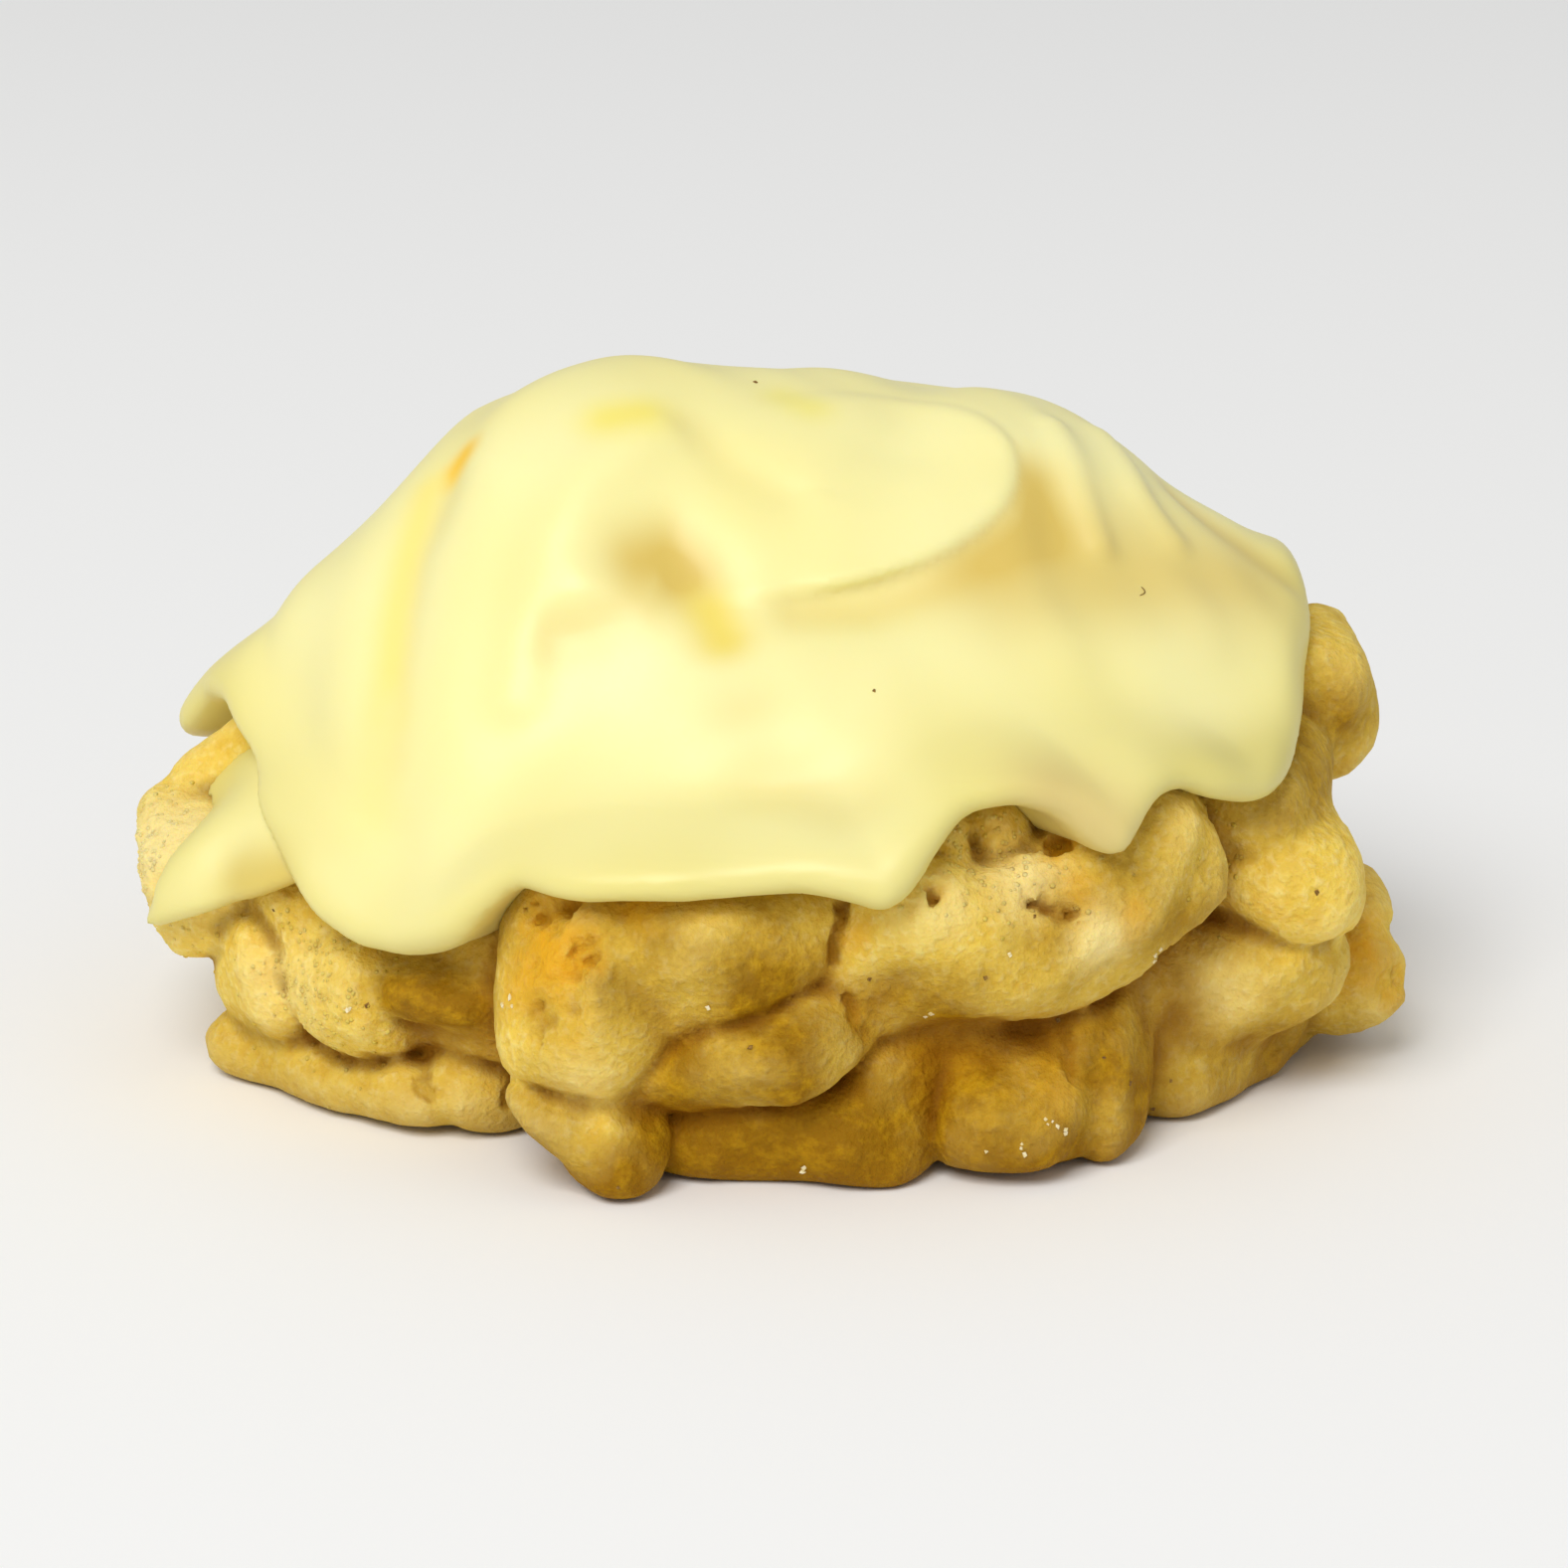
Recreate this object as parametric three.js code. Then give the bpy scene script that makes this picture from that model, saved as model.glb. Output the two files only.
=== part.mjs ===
// Iced sugar cookie: a thick soft biscuit, baked as one uneven heap of dough lumps, under a poured
// coat of lemon icing that has run down its sides and set in drips.
// Millimetres, +Z up. The cookie rests on the plane z = 0 and the origin is at the middle of its base.
// Each body starts as a SphereGeometry whose vertices are moved out to the surface of a field.

import * as THREE from "three";

// ---- driving dimensions ----
const CENTRE_HEIGHT = 14; // the point inside the cookie that all the columns of vertices look out from
const COLUMNS = 108; // columns of vertices round the cookie
const COVERED_ROWS = 8; // rows of the cookie that lie under the icing
const SIDE_ROWS = 22; // rows of the cookie from the edge of the icing down to the base
const COAT_ROWS = 24; // rows on the icing's outer face

const BASE_ROUND = 2.0; // how softly the dough rounds off onto the sheet it was baked on
const BASE_INSET = 1.2; // the flat underside stops this far inside the dough's outline
const COAT = 1.9; // thickness of the icing
const COAT_LEAST = 1.2; // thickness over a lump that stands proud
const COAT_BEAD = 0.5; // extra thickness where the icing has gathered along its edge
const BEAD_FROM_EDGE = 2.2;
const BEAD_WIDTH = 1.8;
const EDGE_ROUND = 2.6; // rounding of the icing's edge
const SAG = 7.0; // how softly the icing bridges the dips between the lumps
const SHRINK = 1.4; // takes back what the soft bridging adds
const CREASE = 4.5; // the deepest that a crease between two lumps goes
const CREASE_ROUND = 1.5;
const JOIN = 0.5; // how softly a group of run-together lumps meets the rest
const GAP = 0.3; // between the icing and the dough
const PROUD_ROUND = 3.0; // how softly a proud lump lifts the icing off the draped surface
const END_OF_COAT = 32.5; // the icing stops here on the right, short of the last lobes
const END_HEIGHT = 26; // at this height, and farther out above it
const END_SLOPE = 0.3;
const END_ROUND = 2.0;
const WALL_RADIUS = 28; // radius at which the side is unrolled to measure along the icing's edge

const REACH = 50; // farther out than any point of the cookie

const radians = THREE.MathUtils.degToRad;

// ---- the lumps of dough: centre, half sizes, turn about Z and tilt about Y in degrees ----
// squareness 2 is an ellipsoid and more is boxier; fillet is how deep the crease round it is filled
const BOUND_OF_LUMP = 1.25; // how far out a boxy lump's corner may stand, in its longest half size
const lump = (name, at, half, { turn = 0, tilt = 0, square = 2.3, fillet = 0.6 } = {}) => {
  const bound = BOUND_OF_LUMP * Math.max(...half);
  return { name, at, half, turn: radians(turn), tilt: radians(tilt), square, fillet, bound };
};

// A drawn-out lump: points along it, each with the roll's radius there.
const roll = (name, line, { fillet = 0.6 } = {}) => {
  const points = line.map(([x, y, z]) => new THREE.Vector3(x, y, z));
  const radii = line.map(([, , , radius]) => radius);
  const ball = new THREE.Sphere().setFromPoints(points);
  return { name, points, radii, fillet, at: ball.center.toArray(), bound: ball.radius + Math.max(...radii) };
};

const HEART = [
  lump("core_low", [0.0, 2.5, 9.5], [29.0, 24.5, 10.5], { fillet: 0.8 }),
  lump("core_mid", [0.5, 2.5, 17.5], [26.5, 22.5, 13.0], { fillet: 0.8 }),
  lump("mound_left", [-16.2, 3.0, 21.4], [11.4, 13.4, 11.6], { square: 2.0, fillet: 4.0 }),
  lump("mound_peak", [-8.6, 2.5, 22.3], [12.8, 15.0, 18.0], { square: 2.0, fillet: 4.0 }),
  lump("mound_saddle", [2.0, 2.5, 22.3], [11.4, 13.0, 15.9], { square: 2.0, fillet: 4.0 }),
  lump("mound_right", [12.2, 4.5, 22.4], [12.6, 14.4, 15.5], { square: 2.0, fillet: 4.0 }),
  lump("mound_end", [21.6, 4.0, 20.5], [9.7, 12.4, 10.0], { square: 2.2, fillet: 2.0 }),
];

const BASE = [
  lump("base_ledge", [-24.6, -8.0, 1.2], [11.0, 6.0, 3.2], { turn: -40 }),
  lump("base_left", [-25.5, 2.0, 3.6], [7.6, 7.6, 5.4]),
  lump("base_knob", [-16.2, -13.2, 1.6], [3.6, 5.0, 3.6], { square: 2.2 }),
  lump("corner", [-8.5, -21.0, 1.6], [2.7, 7.3, 4.0], { square: 2.5 }),
  roll("corner_flap", [[-12.6, -24.0, 4.9, 1.4], [-11.0, -25.4, 3.6, 1.8], [-9.9, -26.2, 2.3, 1.5]], {
    fillet: 0.4,
  }),
  lump("foot_mid", [1.4, -17.7, 1.2], [9.2, 8.6, 5.0], { square: 2.8 }),
  lump("foot_rise", [7.3, -17.9, 4.7], [4.2, 6.8, 4.6], { fillet: 1.5 }),
  lump("foot_right", [14.0, -18.9, 2.9], [5.4, 6.6, 5.0], { tilt: -12, square: 2.3, fillet: 0.4 }),
  lump("foot_back", [16.6, -15.8, 4.8], [4.2, 6.4, 5.4]),
  lump("wedge", [19.3, -16.2, 2.8], [2.2, 6.2, 6.6], { square: 2.3 }),
  lump("right_base", [25.2, -4.6, 2.6], [6.4, 11.4, 5.4], { turn: -32, square: 2.4, fillet: 1.0 }),
  lump("right_fill", [22.4, -7.0, 4.6], [4.6, 7.0, 5.2], { square: 2.2, fillet: 1.5 }),
  lump("right_pale", [27.5, -6.4, 7.6], [5.8, 8.6, 4.4], { square: 2.5, fillet: 2.0 }),
  lump("lobe_right", [34.1, -1.2, 5.3], [3.2, 5.0, 4.0], { square: 2.8, fillet: 0.5 }),
  lump("lobe_right_top", [35.6, 0.0, 9.0], [2.3, 3.6, 1.8], { fillet: 0.6 }),
];

const SIDES = [
  lump("right_mid", [30.0, -7.8, 14.1], [4.7, 7.0, 4.0], { fillet: 1.0 }),
  lump("right_top", [31.6, 5.5, 20.6], [4.3, 8.0, 5.3], { square: 3.2, fillet: 0.8 }),
  lump("right_shoulder", [27.9, -5.2, 18.3], [5.8, 7.8, 4.0], { square: 2.2, fillet: 1.0 }),
  lump("ball_small", [-28.8, -6.4, 6.6], [4.2, 5.4, 4.2], { square: 2.2 }),
  lump("ball_right", [-17.2, -13.0, 8.7], [5.2, 6.6, 3.0], { square: 2.2 }),
  lump("ball_big", [-22.6, -10.4, 7.8], [5.6, 6.8, 4.7], { fillet: 0.8 }),
  lump("lobe_left", [-30.2, -1.0, 11.6], [7.4, 8.2, 5.0], { square: 3.2 }),
  lump("lobe_under", [-24.4, -6.2, 12.0], [5.2, 7.8, 4.0], { square: 2.2, fillet: 1.0 }),
  lump("back_left", [-26.8, 8.0, 13.6], [6.4, 8.6, 6.0], { fillet: 0.8 }),
  lump("rear_left", [-24.6, 5.5, 16.9], [4.4, 5.5, 4.8], { square: 2.0, fillet: 1.5 }),
  roll("rear_strip", [[-28.8, 2.0, 20.0, 1.8], [-32.2, 1.0, 15.6, 2.1]], { fillet: 0.8 }),
];

// One fold of dough that lies across the front: a blunt nose on the left, a shelf, and a rounded roll
// that runs up to the right. Lumps in a group have run together.
const FRONT = [
  lump("tongue", [-0.8, -20.2, 7.9], [8.2, 7.8, 2.9], { tilt: 15, fillet: 0.4 }),
  [
    lump("nose", [-10.3, -19.2, 10.7], [5.8, 9.1, 7.3], { square: 2.0 }),
    roll("nose_slope", [
      [-9.2, -22.6, 10.2, 4.4], [-3.6, -22.4, 13.9, 4.0], [1.8, -21.8, 15.2, 3.4],
    ], { fillet: 1.0 }),
    lump("slab", [-2.0, -17.8, 14.1], [7.2, 8.4, 4.5], { tilt: 12, square: 2.8, fillet: 2.6 }),
  ],
  [
    roll("log", [
      [6.4, -21.4, 11.7, 3.9], [10.0, -21.2, 13.1, 4.2], [15.0, -20.0, 13.9, 4.3],
      [19.8, -18.6, 14.4, 4.1], [21.6, -16.2, 14.9, 3.8],
    ]),
    lump("neck", [7.1, -19.0, 15.4], [4.2, 6.6, 4.0], { square: 2.4, fillet: 1.6 }),
    lump("slope", [19.8, -12.8, 17.6], [5.2, 7.6, 4.6], { square: 2.3, fillet: 2.0 }),
  ],
  lump("pit_left", [9.9, -16.8, 18.7], [2.1, 4.6, 2.3], { square: 2.3, fillet: 0.5 }),
  lump("pit_right", [13.9, -16.4, 19.2], [2.2, 4.2, 2.4], { square: 2.3, fillet: 0.4 }),
];

// A repeatable number from 0 to 1 for the n-th draw.
function chance(n) {
  const value = Math.sin(n * 12.9898 + 4.1414) * 43758.5453;
  return value - Math.floor(value);
}

// The back is three rows of lumps, laid round it like courses of stones.
const BACK_ROWS = [
  { height: 3.0, halfWidth: 27.5, halfDepth: 24.5, size: 7.2, count: 8, tall: 4.8 },
  { height: 10.5, halfWidth: 27.0, halfDepth: 25.0, size: 6.6, count: 9, tall: 4.4 },
  { height: 18.0, halfWidth: 26.0, halfDepth: 24.0, size: 6.4, count: 8, tall: 4.4 },
];
const BACK_FROM = 14; // degrees round from the right-hand end
const BACK_SWEEP = 150;
const DRAWS_PER_LUMP = 5;

function backLumps() {
  const made = [];
  let draw = 0;
  BACK_ROWS.forEach(({ height, halfWidth, halfDepth, size, count, tall }, row) => {
    for (let i = 0; i < count; i += 1) {
      draw += DRAWS_PER_LUMP;
      const share = (i + 0.5 * (row % 2) + 0.35 * (chance(draw) - 0.5)) / (count - 0.5);
      const turn = BACK_FROM + BACK_SWEEP * share;
      const grow = 0.8 + 0.45 * chance(draw + 1);
      const at = [
        halfWidth * Math.cos(radians(turn)),
        halfDepth * Math.sin(radians(turn)),
        height + 3 * (chance(draw + 2) - 0.5),
      ];
      const half = [size * grow, size * (0.9 + 0.3 * chance(draw + 3)), tall * grow];
      const tilt = 30 * (chance(draw + 4) - 0.5);
      made.push(lump(`back_${row}_${i}`, at, half, { turn: turn - 90, tilt, fillet: 0.7 }));
    }
  });
  return made;
}

const MASSES = [...HEART, ...BASE, ...SIDES, ...FRONT, ...backLumps()].map((one) => [one].flat());
const LUMPS = MASSES.flat().map((one) => [one]);

// Slow waves that bend the lumps, so that none is a plain ellipsoid: size, length, direction, phase.
const WAVES = [
  { size: 0.5, length: 15.0, along: [0.62, 0.31, 0.72], phase: 0.3 },
  { size: 0.42, length: 11.5, along: [-0.41, 0.8, 0.44], phase: 1.9 },
  { size: 0.3, length: 8.6, along: [0.77, -0.52, 0.37], phase: 4.1 },
  { size: 0.16, length: 5.9, along: [-0.29, -0.63, 0.72], phase: 2.6 },
  { size: 0.1, length: 4.3, along: [0.58, 0.66, -0.48], phase: 5.2 },
];

// ---- the icing's edge: its height round the side, and the drips that hang below it ----
// azimuth in degrees: 0 right, 90 back, 180 left, 270 front
const EDGE_LEVELS = [
  [0, 22.0], [35, 20.5], [60, 19.0], [90, 20.5], [120, 18.5], [145, 20.0], [158, 19.0], [164, 17.0],
  [170, 15.6], [174, 16.6], [178.5, 20.8], [182, 21.4], [186, 20.0], [190, 18.8], [196, 17.4],
  [203, 16.0], [208, 14.6], [212, 13.0], [218, 11.7], [224, 11.6], [229, 12.3], [233, 13.5],
  [236, 15.5], [239, 17.0], [249, 17.1], [262, 17.6], [274, 17.9], [279.5, 17.4], [283, 16.8],
  [286.5, 17.7], [290, 19.6], [295, 21.3], [301, 21.6], [303.6, 21.0], [305.4, 19.0], [307.0, 18.6],
  [312.2, 18.7], [313.8, 19.9], [317, 21.2], [321.5, 21.6], [324, 20.7], [330, 19.5], [336, 20.2],
  [341, 21.1], [347, 21.6], [354, 21.8], [360, 22.0],
];
const DRIPS = [
  { name: "back_a", at: 48, halfWidth: 9, drop: 3.6, square: 2.0 },
  { name: "back_b", at: 76, halfWidth: 7, drop: 5.2, square: 2.0 },
  { name: "back_c", at: 104, halfWidth: 10, drop: 2.6, square: 2.2 },
  { name: "back_d", at: 133, halfWidth: 8, drop: 5.0, square: 2.0 },
];

// ---- fields: negative inside, about the distance in millimetres near the surface ----
function smoothMin(a, b, reach) {
  const blend = Math.max(reach - Math.abs(a - b), 0) / reach;
  return Math.min(a, b) - (blend * blend * reach) / 4;
}

function smoothMax(a, b, reach) {
  return -smoothMin(-a, -b, reach);
}

function bend([x, y, z]) {
  let [dx, dy, dz] = [0, 0, 0];
  for (const { size, length, along, phase } of WAVES) {
    const turn = ((2 * Math.PI) / length) * (along[0] * x + along[1] * y + along[2] * z) + phase;
    dx += size * Math.sin(turn);
    dy += size * Math.sin(1.07 * turn + 2.1);
    dz += 0.7 * size * Math.sin(0.93 * turn + 4.2);
  }
  return [x + dx, y + dy, z + dz];
}

function lumpDistance([px, py, pz], { at, half, turn, tilt, square }) {
  const [c, s] = [Math.cos(turn), Math.sin(turn)];
  const [ct, st] = [Math.cos(tilt), Math.sin(tilt)];
  const [x0, y0, z0] = [px - at[0], py - at[1], pz - at[2]];
  const x1 = c * x0 + s * y0;
  const y = -s * x0 + c * y0;
  const x = ct * x1 + st * z0;
  const z = -st * x1 + ct * z0;
  const [u, v, w] = [Math.abs(x / half[0]), Math.abs(y / half[1]), Math.abs(z / half[2])];
  const [u1, v1, w1] = [u ** (square - 1), v ** (square - 1), w ** (square - 1)];
  const size = Math.max((u * u1 + v * v1 + w * w1) ** (1 / square), 1e-3);
  const slope = Math.hypot(u1 / half[0], v1 / half[1], w1 / half[2]) / size ** (square - 1);
  return (size - 1) / Math.max(slope, 1e-4);
}

function rollDistance([x, y, z], { points, radii }) {
  const p = new THREE.Vector3(x, y, z);
  const closest = new THREE.Vector3();
  let nearest = Infinity;
  for (let i = 1; i < points.length; i += 1) {
    const segment = new THREE.Line3(points[i - 1], points[i]);
    const along = segment.closestPointToPointParameter(p, true);
    const radius = THREE.MathUtils.lerp(radii[i - 1], radii[i], along);
    nearest = Math.min(nearest, segment.at(along, closest).distanceTo(p) - radius);
  }
  return nearest;
}

const pieceDistance = (p, one) => (one.points ? rollDistance(p, one) : lumpDistance(p, one));

const FAR = 12;

// Groups of lumps as one field. A group too far off to change it is passed over.
function blended(p, masses, reachOfMass) {
  let field = FAR;
  for (const mass of masses) {
    const reach = reachOfMass(mass);
    const clear = ({ at, bound }) => Math.hypot(p[0] - at[0], p[1] - at[1], p[2] - at[2]) - bound;
    if (mass.every((one) => clear(one) >= field + reach)) continue;
    const [first, ...others] = mass;
    let together = pieceDistance(p, first);
    for (const one of others) together = smoothMin(together, pieceDistance(p, one), one.fillet);
    field = smoothMin(field, Math.min(together, FAR), reach);
  }
  return field;
}

// The surface that the icing lies on: the lumps with every dip between them bridged.
const drape = (p) => blended(p, LUMPS, () => SAG) + SHRINK;

// The lumps of dough run together, so that no crease is deeper than CREASE below the draped surface.
function lumps(p, draped = drape(p)) {
  const runTogether = blended(bend(p), MASSES, (mass) => (mass.length > 1 ? JOIN : mass[0].fillet));
  return smoothMin(runTogether, draped + CREASE, CREASE_ROUND);
}

const dough = (p, draped) => smoothMax(lumps(p, draped), -p[2], BASE_ROUND);

function edgeHeight(azimuth) {
  const turn = ((azimuth % 360) + 360) % 360;
  const after = EDGE_LEVELS.findIndex(([at]) => at > turn);
  const [[from, low], [to, high]] = [EDGE_LEVELS[after - 1], EDGE_LEVELS[after]];
  let height = THREE.MathUtils.mapLinear(turn, from, to, low, high);
  for (const { at, halfWidth, drop, square } of DRIPS) {
    const off = Math.abs(((turn - at + 540) % 360) - 180) / halfWidth;
    height -= drop * Math.max(1 - off ** square, 0) ** (1 / square);
  }
  return height;
}

// The edge as points of the unrolled side, every half degree, softened a little.
const EDGE_STEP = 0.5;
const MM_PER_DEGREE = radians(1) * WALL_RADIUS;
const EDGE_SOFTENINGS = 10;
const EDGE_WINDOW = 12; // no point of the edge farther off than this along the side matters

function unrolledEdge() {
  const count = 360 / EDGE_STEP;
  let heights = Array.from({ length: count }, (_, i) => edgeHeight(i * EDGE_STEP));
  for (let pass = 0; pass < EDGE_SOFTENINGS; pass += 1) {
    heights = heights.map(
      (h, i) => (heights[(i + count - 1) % count] + 2 * h + heights[(i + 1) % count]) / 4,
    );
  }
  return heights;
}

const EDGE = unrolledEdge();

// Distance from the icing's edge along the side: positive below it.
function belowEdge([x, y, z]) {
  const azimuth = THREE.MathUtils.radToDeg(Math.atan2(y, x));
  const middle = Math.round(azimuth / EDGE_STEP);
  const window = Math.round(EDGE_WINDOW / (EDGE_STEP * MM_PER_DEGREE));
  let nearest = Infinity;
  for (let i = middle - window; i <= middle + window; i += 1) {
    const along = (i * EDGE_STEP - azimuth) * MM_PER_DEGREE;
    const height = EDGE[((i % EDGE.length) + EDGE.length) % EDGE.length];
    nearest = Math.min(nearest, Math.hypot(along, height - z));
  }
  const edge = EDGE[((middle % EDGE.length) + EDGE.length) % EDGE.length];
  const side = z < edge ? nearest : -nearest;
  return smoothMax(side, x - END_OF_COAT - END_SLOPE * (z - END_HEIGHT), END_ROUND);
}

// ---- folds in the icing: raised or sunk by `rise` along a line of points, `wide` either side ----
const FOLDS = [
  { name: "left_groove", rise: -0.5, wide: 1.8,
    line: [[-19.1, -3.8, 35.7], [-20.9, -6.2, 32.1], [-21.6, -10.3, 27.8], [-22.2, -13.7, 22.2]] },
  { name: "left_crest", rise: 0.7, wide: 3.0,
    line: [[-15.8, -6.2, 37.4], [-17.4, -9.2, 32.8], [-18.3, -13.7, 26.9], [-18.9, -16.9, 20.8]] },
  { name: "thumb_ridge", rise: 0.9, wide: 2.0,
    line: [[-6.2, -5.3, 39.5], [-10.0, -7.9, 37.8], [-12.4, -10.7, 34.4], [-14.3, -15.6, 26.3]] },
  { name: "thumb_hollow", rise: -1.1, wide: 2.8,
    line: [[-7.6, -11.7, 33.5], [-5.3, -11.5, 33.1], [-3.5, -12.9, 31.4]] },
  { name: "thumb_tail", rise: -0.6, wide: 2.2,
    line: [[-2.9, -13.5, 30.7], [-2.5, -15.1, 29.1], [-4.1, -16.6, 27.8]] },
  { name: "run_foot", rise: -0.5, wide: 2.0,
    line: [[1.6, -12.6, 30.4], [5.6, -12.0, 30.4], [9.8, -10.4, 31.6], [13.0, -8.4, 32.6],
      [15.6, -4.6, 36.3]] },
  { name: "basin", rise: -0.8, wide: 4.8,
    line: [[10.7, -11.0, 31.4], [16.6, -8.2, 32.0], [22.5, -5.2, 30.9], [28.6, -2.3, 29.8]] },
  { name: "shoulder", rise: 0.7, wide: 4.0,
    line: [[2.7, -15.6, 28.7], [10.1, -14.3, 28.9], [18.7, -11.5, 28.4], [27.7, -7.7, 27.1]] },
  { name: "shoulder_dip", rise: -0.8, wide: 2.4,
    line: [[-1.5, -19.2, 26.2], [0.1, -21.5, 23.7], [4.3, -24.0, 23.3]] },
].map((fold) => ({ ...fold, line: fold.line.map((point) => new THREE.Vector3(...point)) }));

// The lobe of icing that ran over the rest and set with a lip round its lower right side.
const OVERRUN = lump("overrun", [2.9, -8.0, 36.4], [12.6, 12.0, 5.3], { tilt: 9, square: 2.2 });
const OVERRUN_RISE = 0.7;
const OVERRUN_LIP = 2.2; // half the width of that lip
const OVERRUN_FADE = 3; // the lobe's rise dies out over this distance behind the lip
const OVERRUN_LEFT = { from: -3, to: 4 }; // it fades in over this span of x
const OVERRUN_TOP = { from: 41.5, to: 38.5 }; // and out over this span of z

// The pool of icing on the left lobe, which ran out from under the main coat. Its two edges rise to
// the right, and it stopped short of a patch of bare crust at the far left.
const POOL_COAT = 1.1;
const POOL_FOOT = { level: 9.4, slope: 0.5, from: -37 };
const POOL_HEAD = { level: 13.7, slope: 0.9, from: -37 };
const [POOL_BACK, POOL_RIGHT] = [0.5, -20];
const [POOL_ROUND, POOL_JOIN] = [1.8, 1.5];
const SOAK = 2.0; // how closely the pool follows the lumps under it
const CRUST = roll("crust", [[-40.5, -5.0, 13.0, 5.3], [-36.5, -4.0, 22.0, 5.3]]);
const CRUST_ROUND = 1.5;

function foldRise(point) {
  let rise = 0;
  for (const { rise: height, wide, line } of FOLDS) {
    let nearest = Infinity;
    for (let i = 1; i < line.length; i += 1) {
      const segment = new THREE.Line3(line[i - 1], line[i]);
      const closest = segment.closestPointToPoint(point, true, new THREE.Vector3());
      nearest = Math.min(nearest, closest.distanceToSquared(point));
    }
    rise += height * Math.exp(-nearest / wide ** 2);
  }
  const inside = -lumpDistance(point.toArray(), OVERRUN);
  const step = THREE.MathUtils.smoothstep(inside, -OVERRUN_LIP, OVERRUN_LIP);
  const share = (value, { from, to }) => THREE.MathUtils.clamp((value - from) / (to - from), 0, 1);
  const faded = share(point.x, OVERRUN_LEFT) * share(point.z, OVERRUN_TOP);
  return rise + OVERRUN_RISE * step * faded * Math.exp(-Math.max(inside - 1, 0) / OVERRUN_FADE);
}

// Distance beyond the edge of the pool: positive outside it.
function beyondPool([x, y, z]) {
  const edge = ({ level, slope, from }) => level + slope * (x - from);
  const across = Math.max(edge(POOL_FOOT) - z, z - edge(POOL_HEAD), y - POOL_BACK, x - POOL_RIGHT);
  return smoothMax(across, -rollDistance([x, y, z], CRUST), CRUST_ROUND);
}

function coat(p) {
  const lain = drape(p);
  const covered = dough(p, lain);
  const below = belowEdge(p);
  const thick = COAT + COAT_BEAD * Math.exp(-(((below + BEAD_FROM_EDGE) / BEAD_WIDTH) ** 2));
  const folded = lain - thick - foldRise(new THREE.Vector3(...p));
  const face = smoothMin(folded, covered - COAT_LEAST, PROUD_ROUND);
  const main = smoothMax(face, below, EDGE_ROUND);
  const pool = smoothMax(smoothMin(lain, covered, SOAK) - POOL_COAT, beyondPool(p), POOL_ROUND);
  return smoothMin(main, pool, POOL_JOIN);
}

// ---- from the centre out to a surface ----
const CENTRE = new THREE.Vector3(0, 0, CENTRE_HEIGHT);
const HALVINGS = 14;
const CORE = 5; // the search inwards stops at this distance from the centre
const STEP_SHARE = 0.6; // a step inwards, in the field's value
const [SHORTEST_STEP, LONGEST_STEP] = [0.25, 4];

function outward(azimuth, polar) {
  const flat = Math.sin(polar);
  return new THREE.Vector3(flat * Math.cos(azimuth), flat * Math.sin(azimuth), Math.cos(polar));
}

// Distance from the centre to the outermost crossing of a field, or 0 where there is none.
function reachOf(field, direction) {
  const at = (distance) => CENTRE.clone().addScaledVector(direction, distance).toArray();
  let outside = REACH;
  let value = field(at(outside));
  while (outside > CORE) {
    const inside = outside - THREE.MathUtils.clamp(STEP_SHARE * value, SHORTEST_STEP, LONGEST_STEP);
    value = field(at(inside));
    if (value < 0) {
      let [low, high] = [inside, outside];
      for (let i = 0; i < HALVINGS; i += 1) {
        const middle = (low + high) / 2;
        if (field(at(middle)) < 0) low = middle;
        else high = middle;
      }
      return (low + high) / 2;
    }
    outside = inside;
  }
  return 0;
}

// Polar angle at which the icing comes down to the dough in one column.
const SCAN_FROM = radians(59);
const SCAN_STEP = radians(1.5);
const SCAN_HALVINGS = 7;
const SHOWS = 0.1; // the icing covers the dough where it stands this much above the gap

function edgePolar(azimuth) {
  const covers = (polar) => {
    const direction = outward(azimuth, polar);
    const icing = reachOf(coat, direction);
    return icing > 0 && icing > reachOf(dough, direction) + GAP + SHOWS;
  };
  let covered = SCAN_FROM;
  while (covers(covered + SCAN_STEP)) covered += SCAN_STEP;
  let bare = covered + SCAN_STEP;
  for (let i = 0; i < SCAN_HALVINGS; i += 1) {
    const middle = (covered + bare) / 2;
    if (covers(middle)) covered = middle;
    else bare = middle;
  }
  return covered;
}

// Radius of the rim of the flat that the cookie rests on.
function baseRadius(azimuth) {
  const level = (p) => lumps([p[0], p[1], 0]);
  const flat = outward(azimuth, Math.PI / 2);
  return reachOf(level, flat) - BASE_INSET;
}

const ROWS_PER_COVERED_ROW = COAT_ROWS / COVERED_ROWS;
const SHARED_ROWS = 9; // rows at the top of the icing lie level all round, out to this polar angle
const SHARED_POLAR = radians(58);
const CROWD = 1.35; // the rows below crowd towards its edge

function coatPolar(row, edge) {
  if (row <= SHARED_ROWS) return (SHARED_POLAR * row) / SHARED_ROWS;
  const left = (COAT_ROWS - row) / (COAT_ROWS - SHARED_ROWS);
  return THREE.MathUtils.lerp(edge, SHARED_POLAR, left ** CROWD);
}

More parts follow.
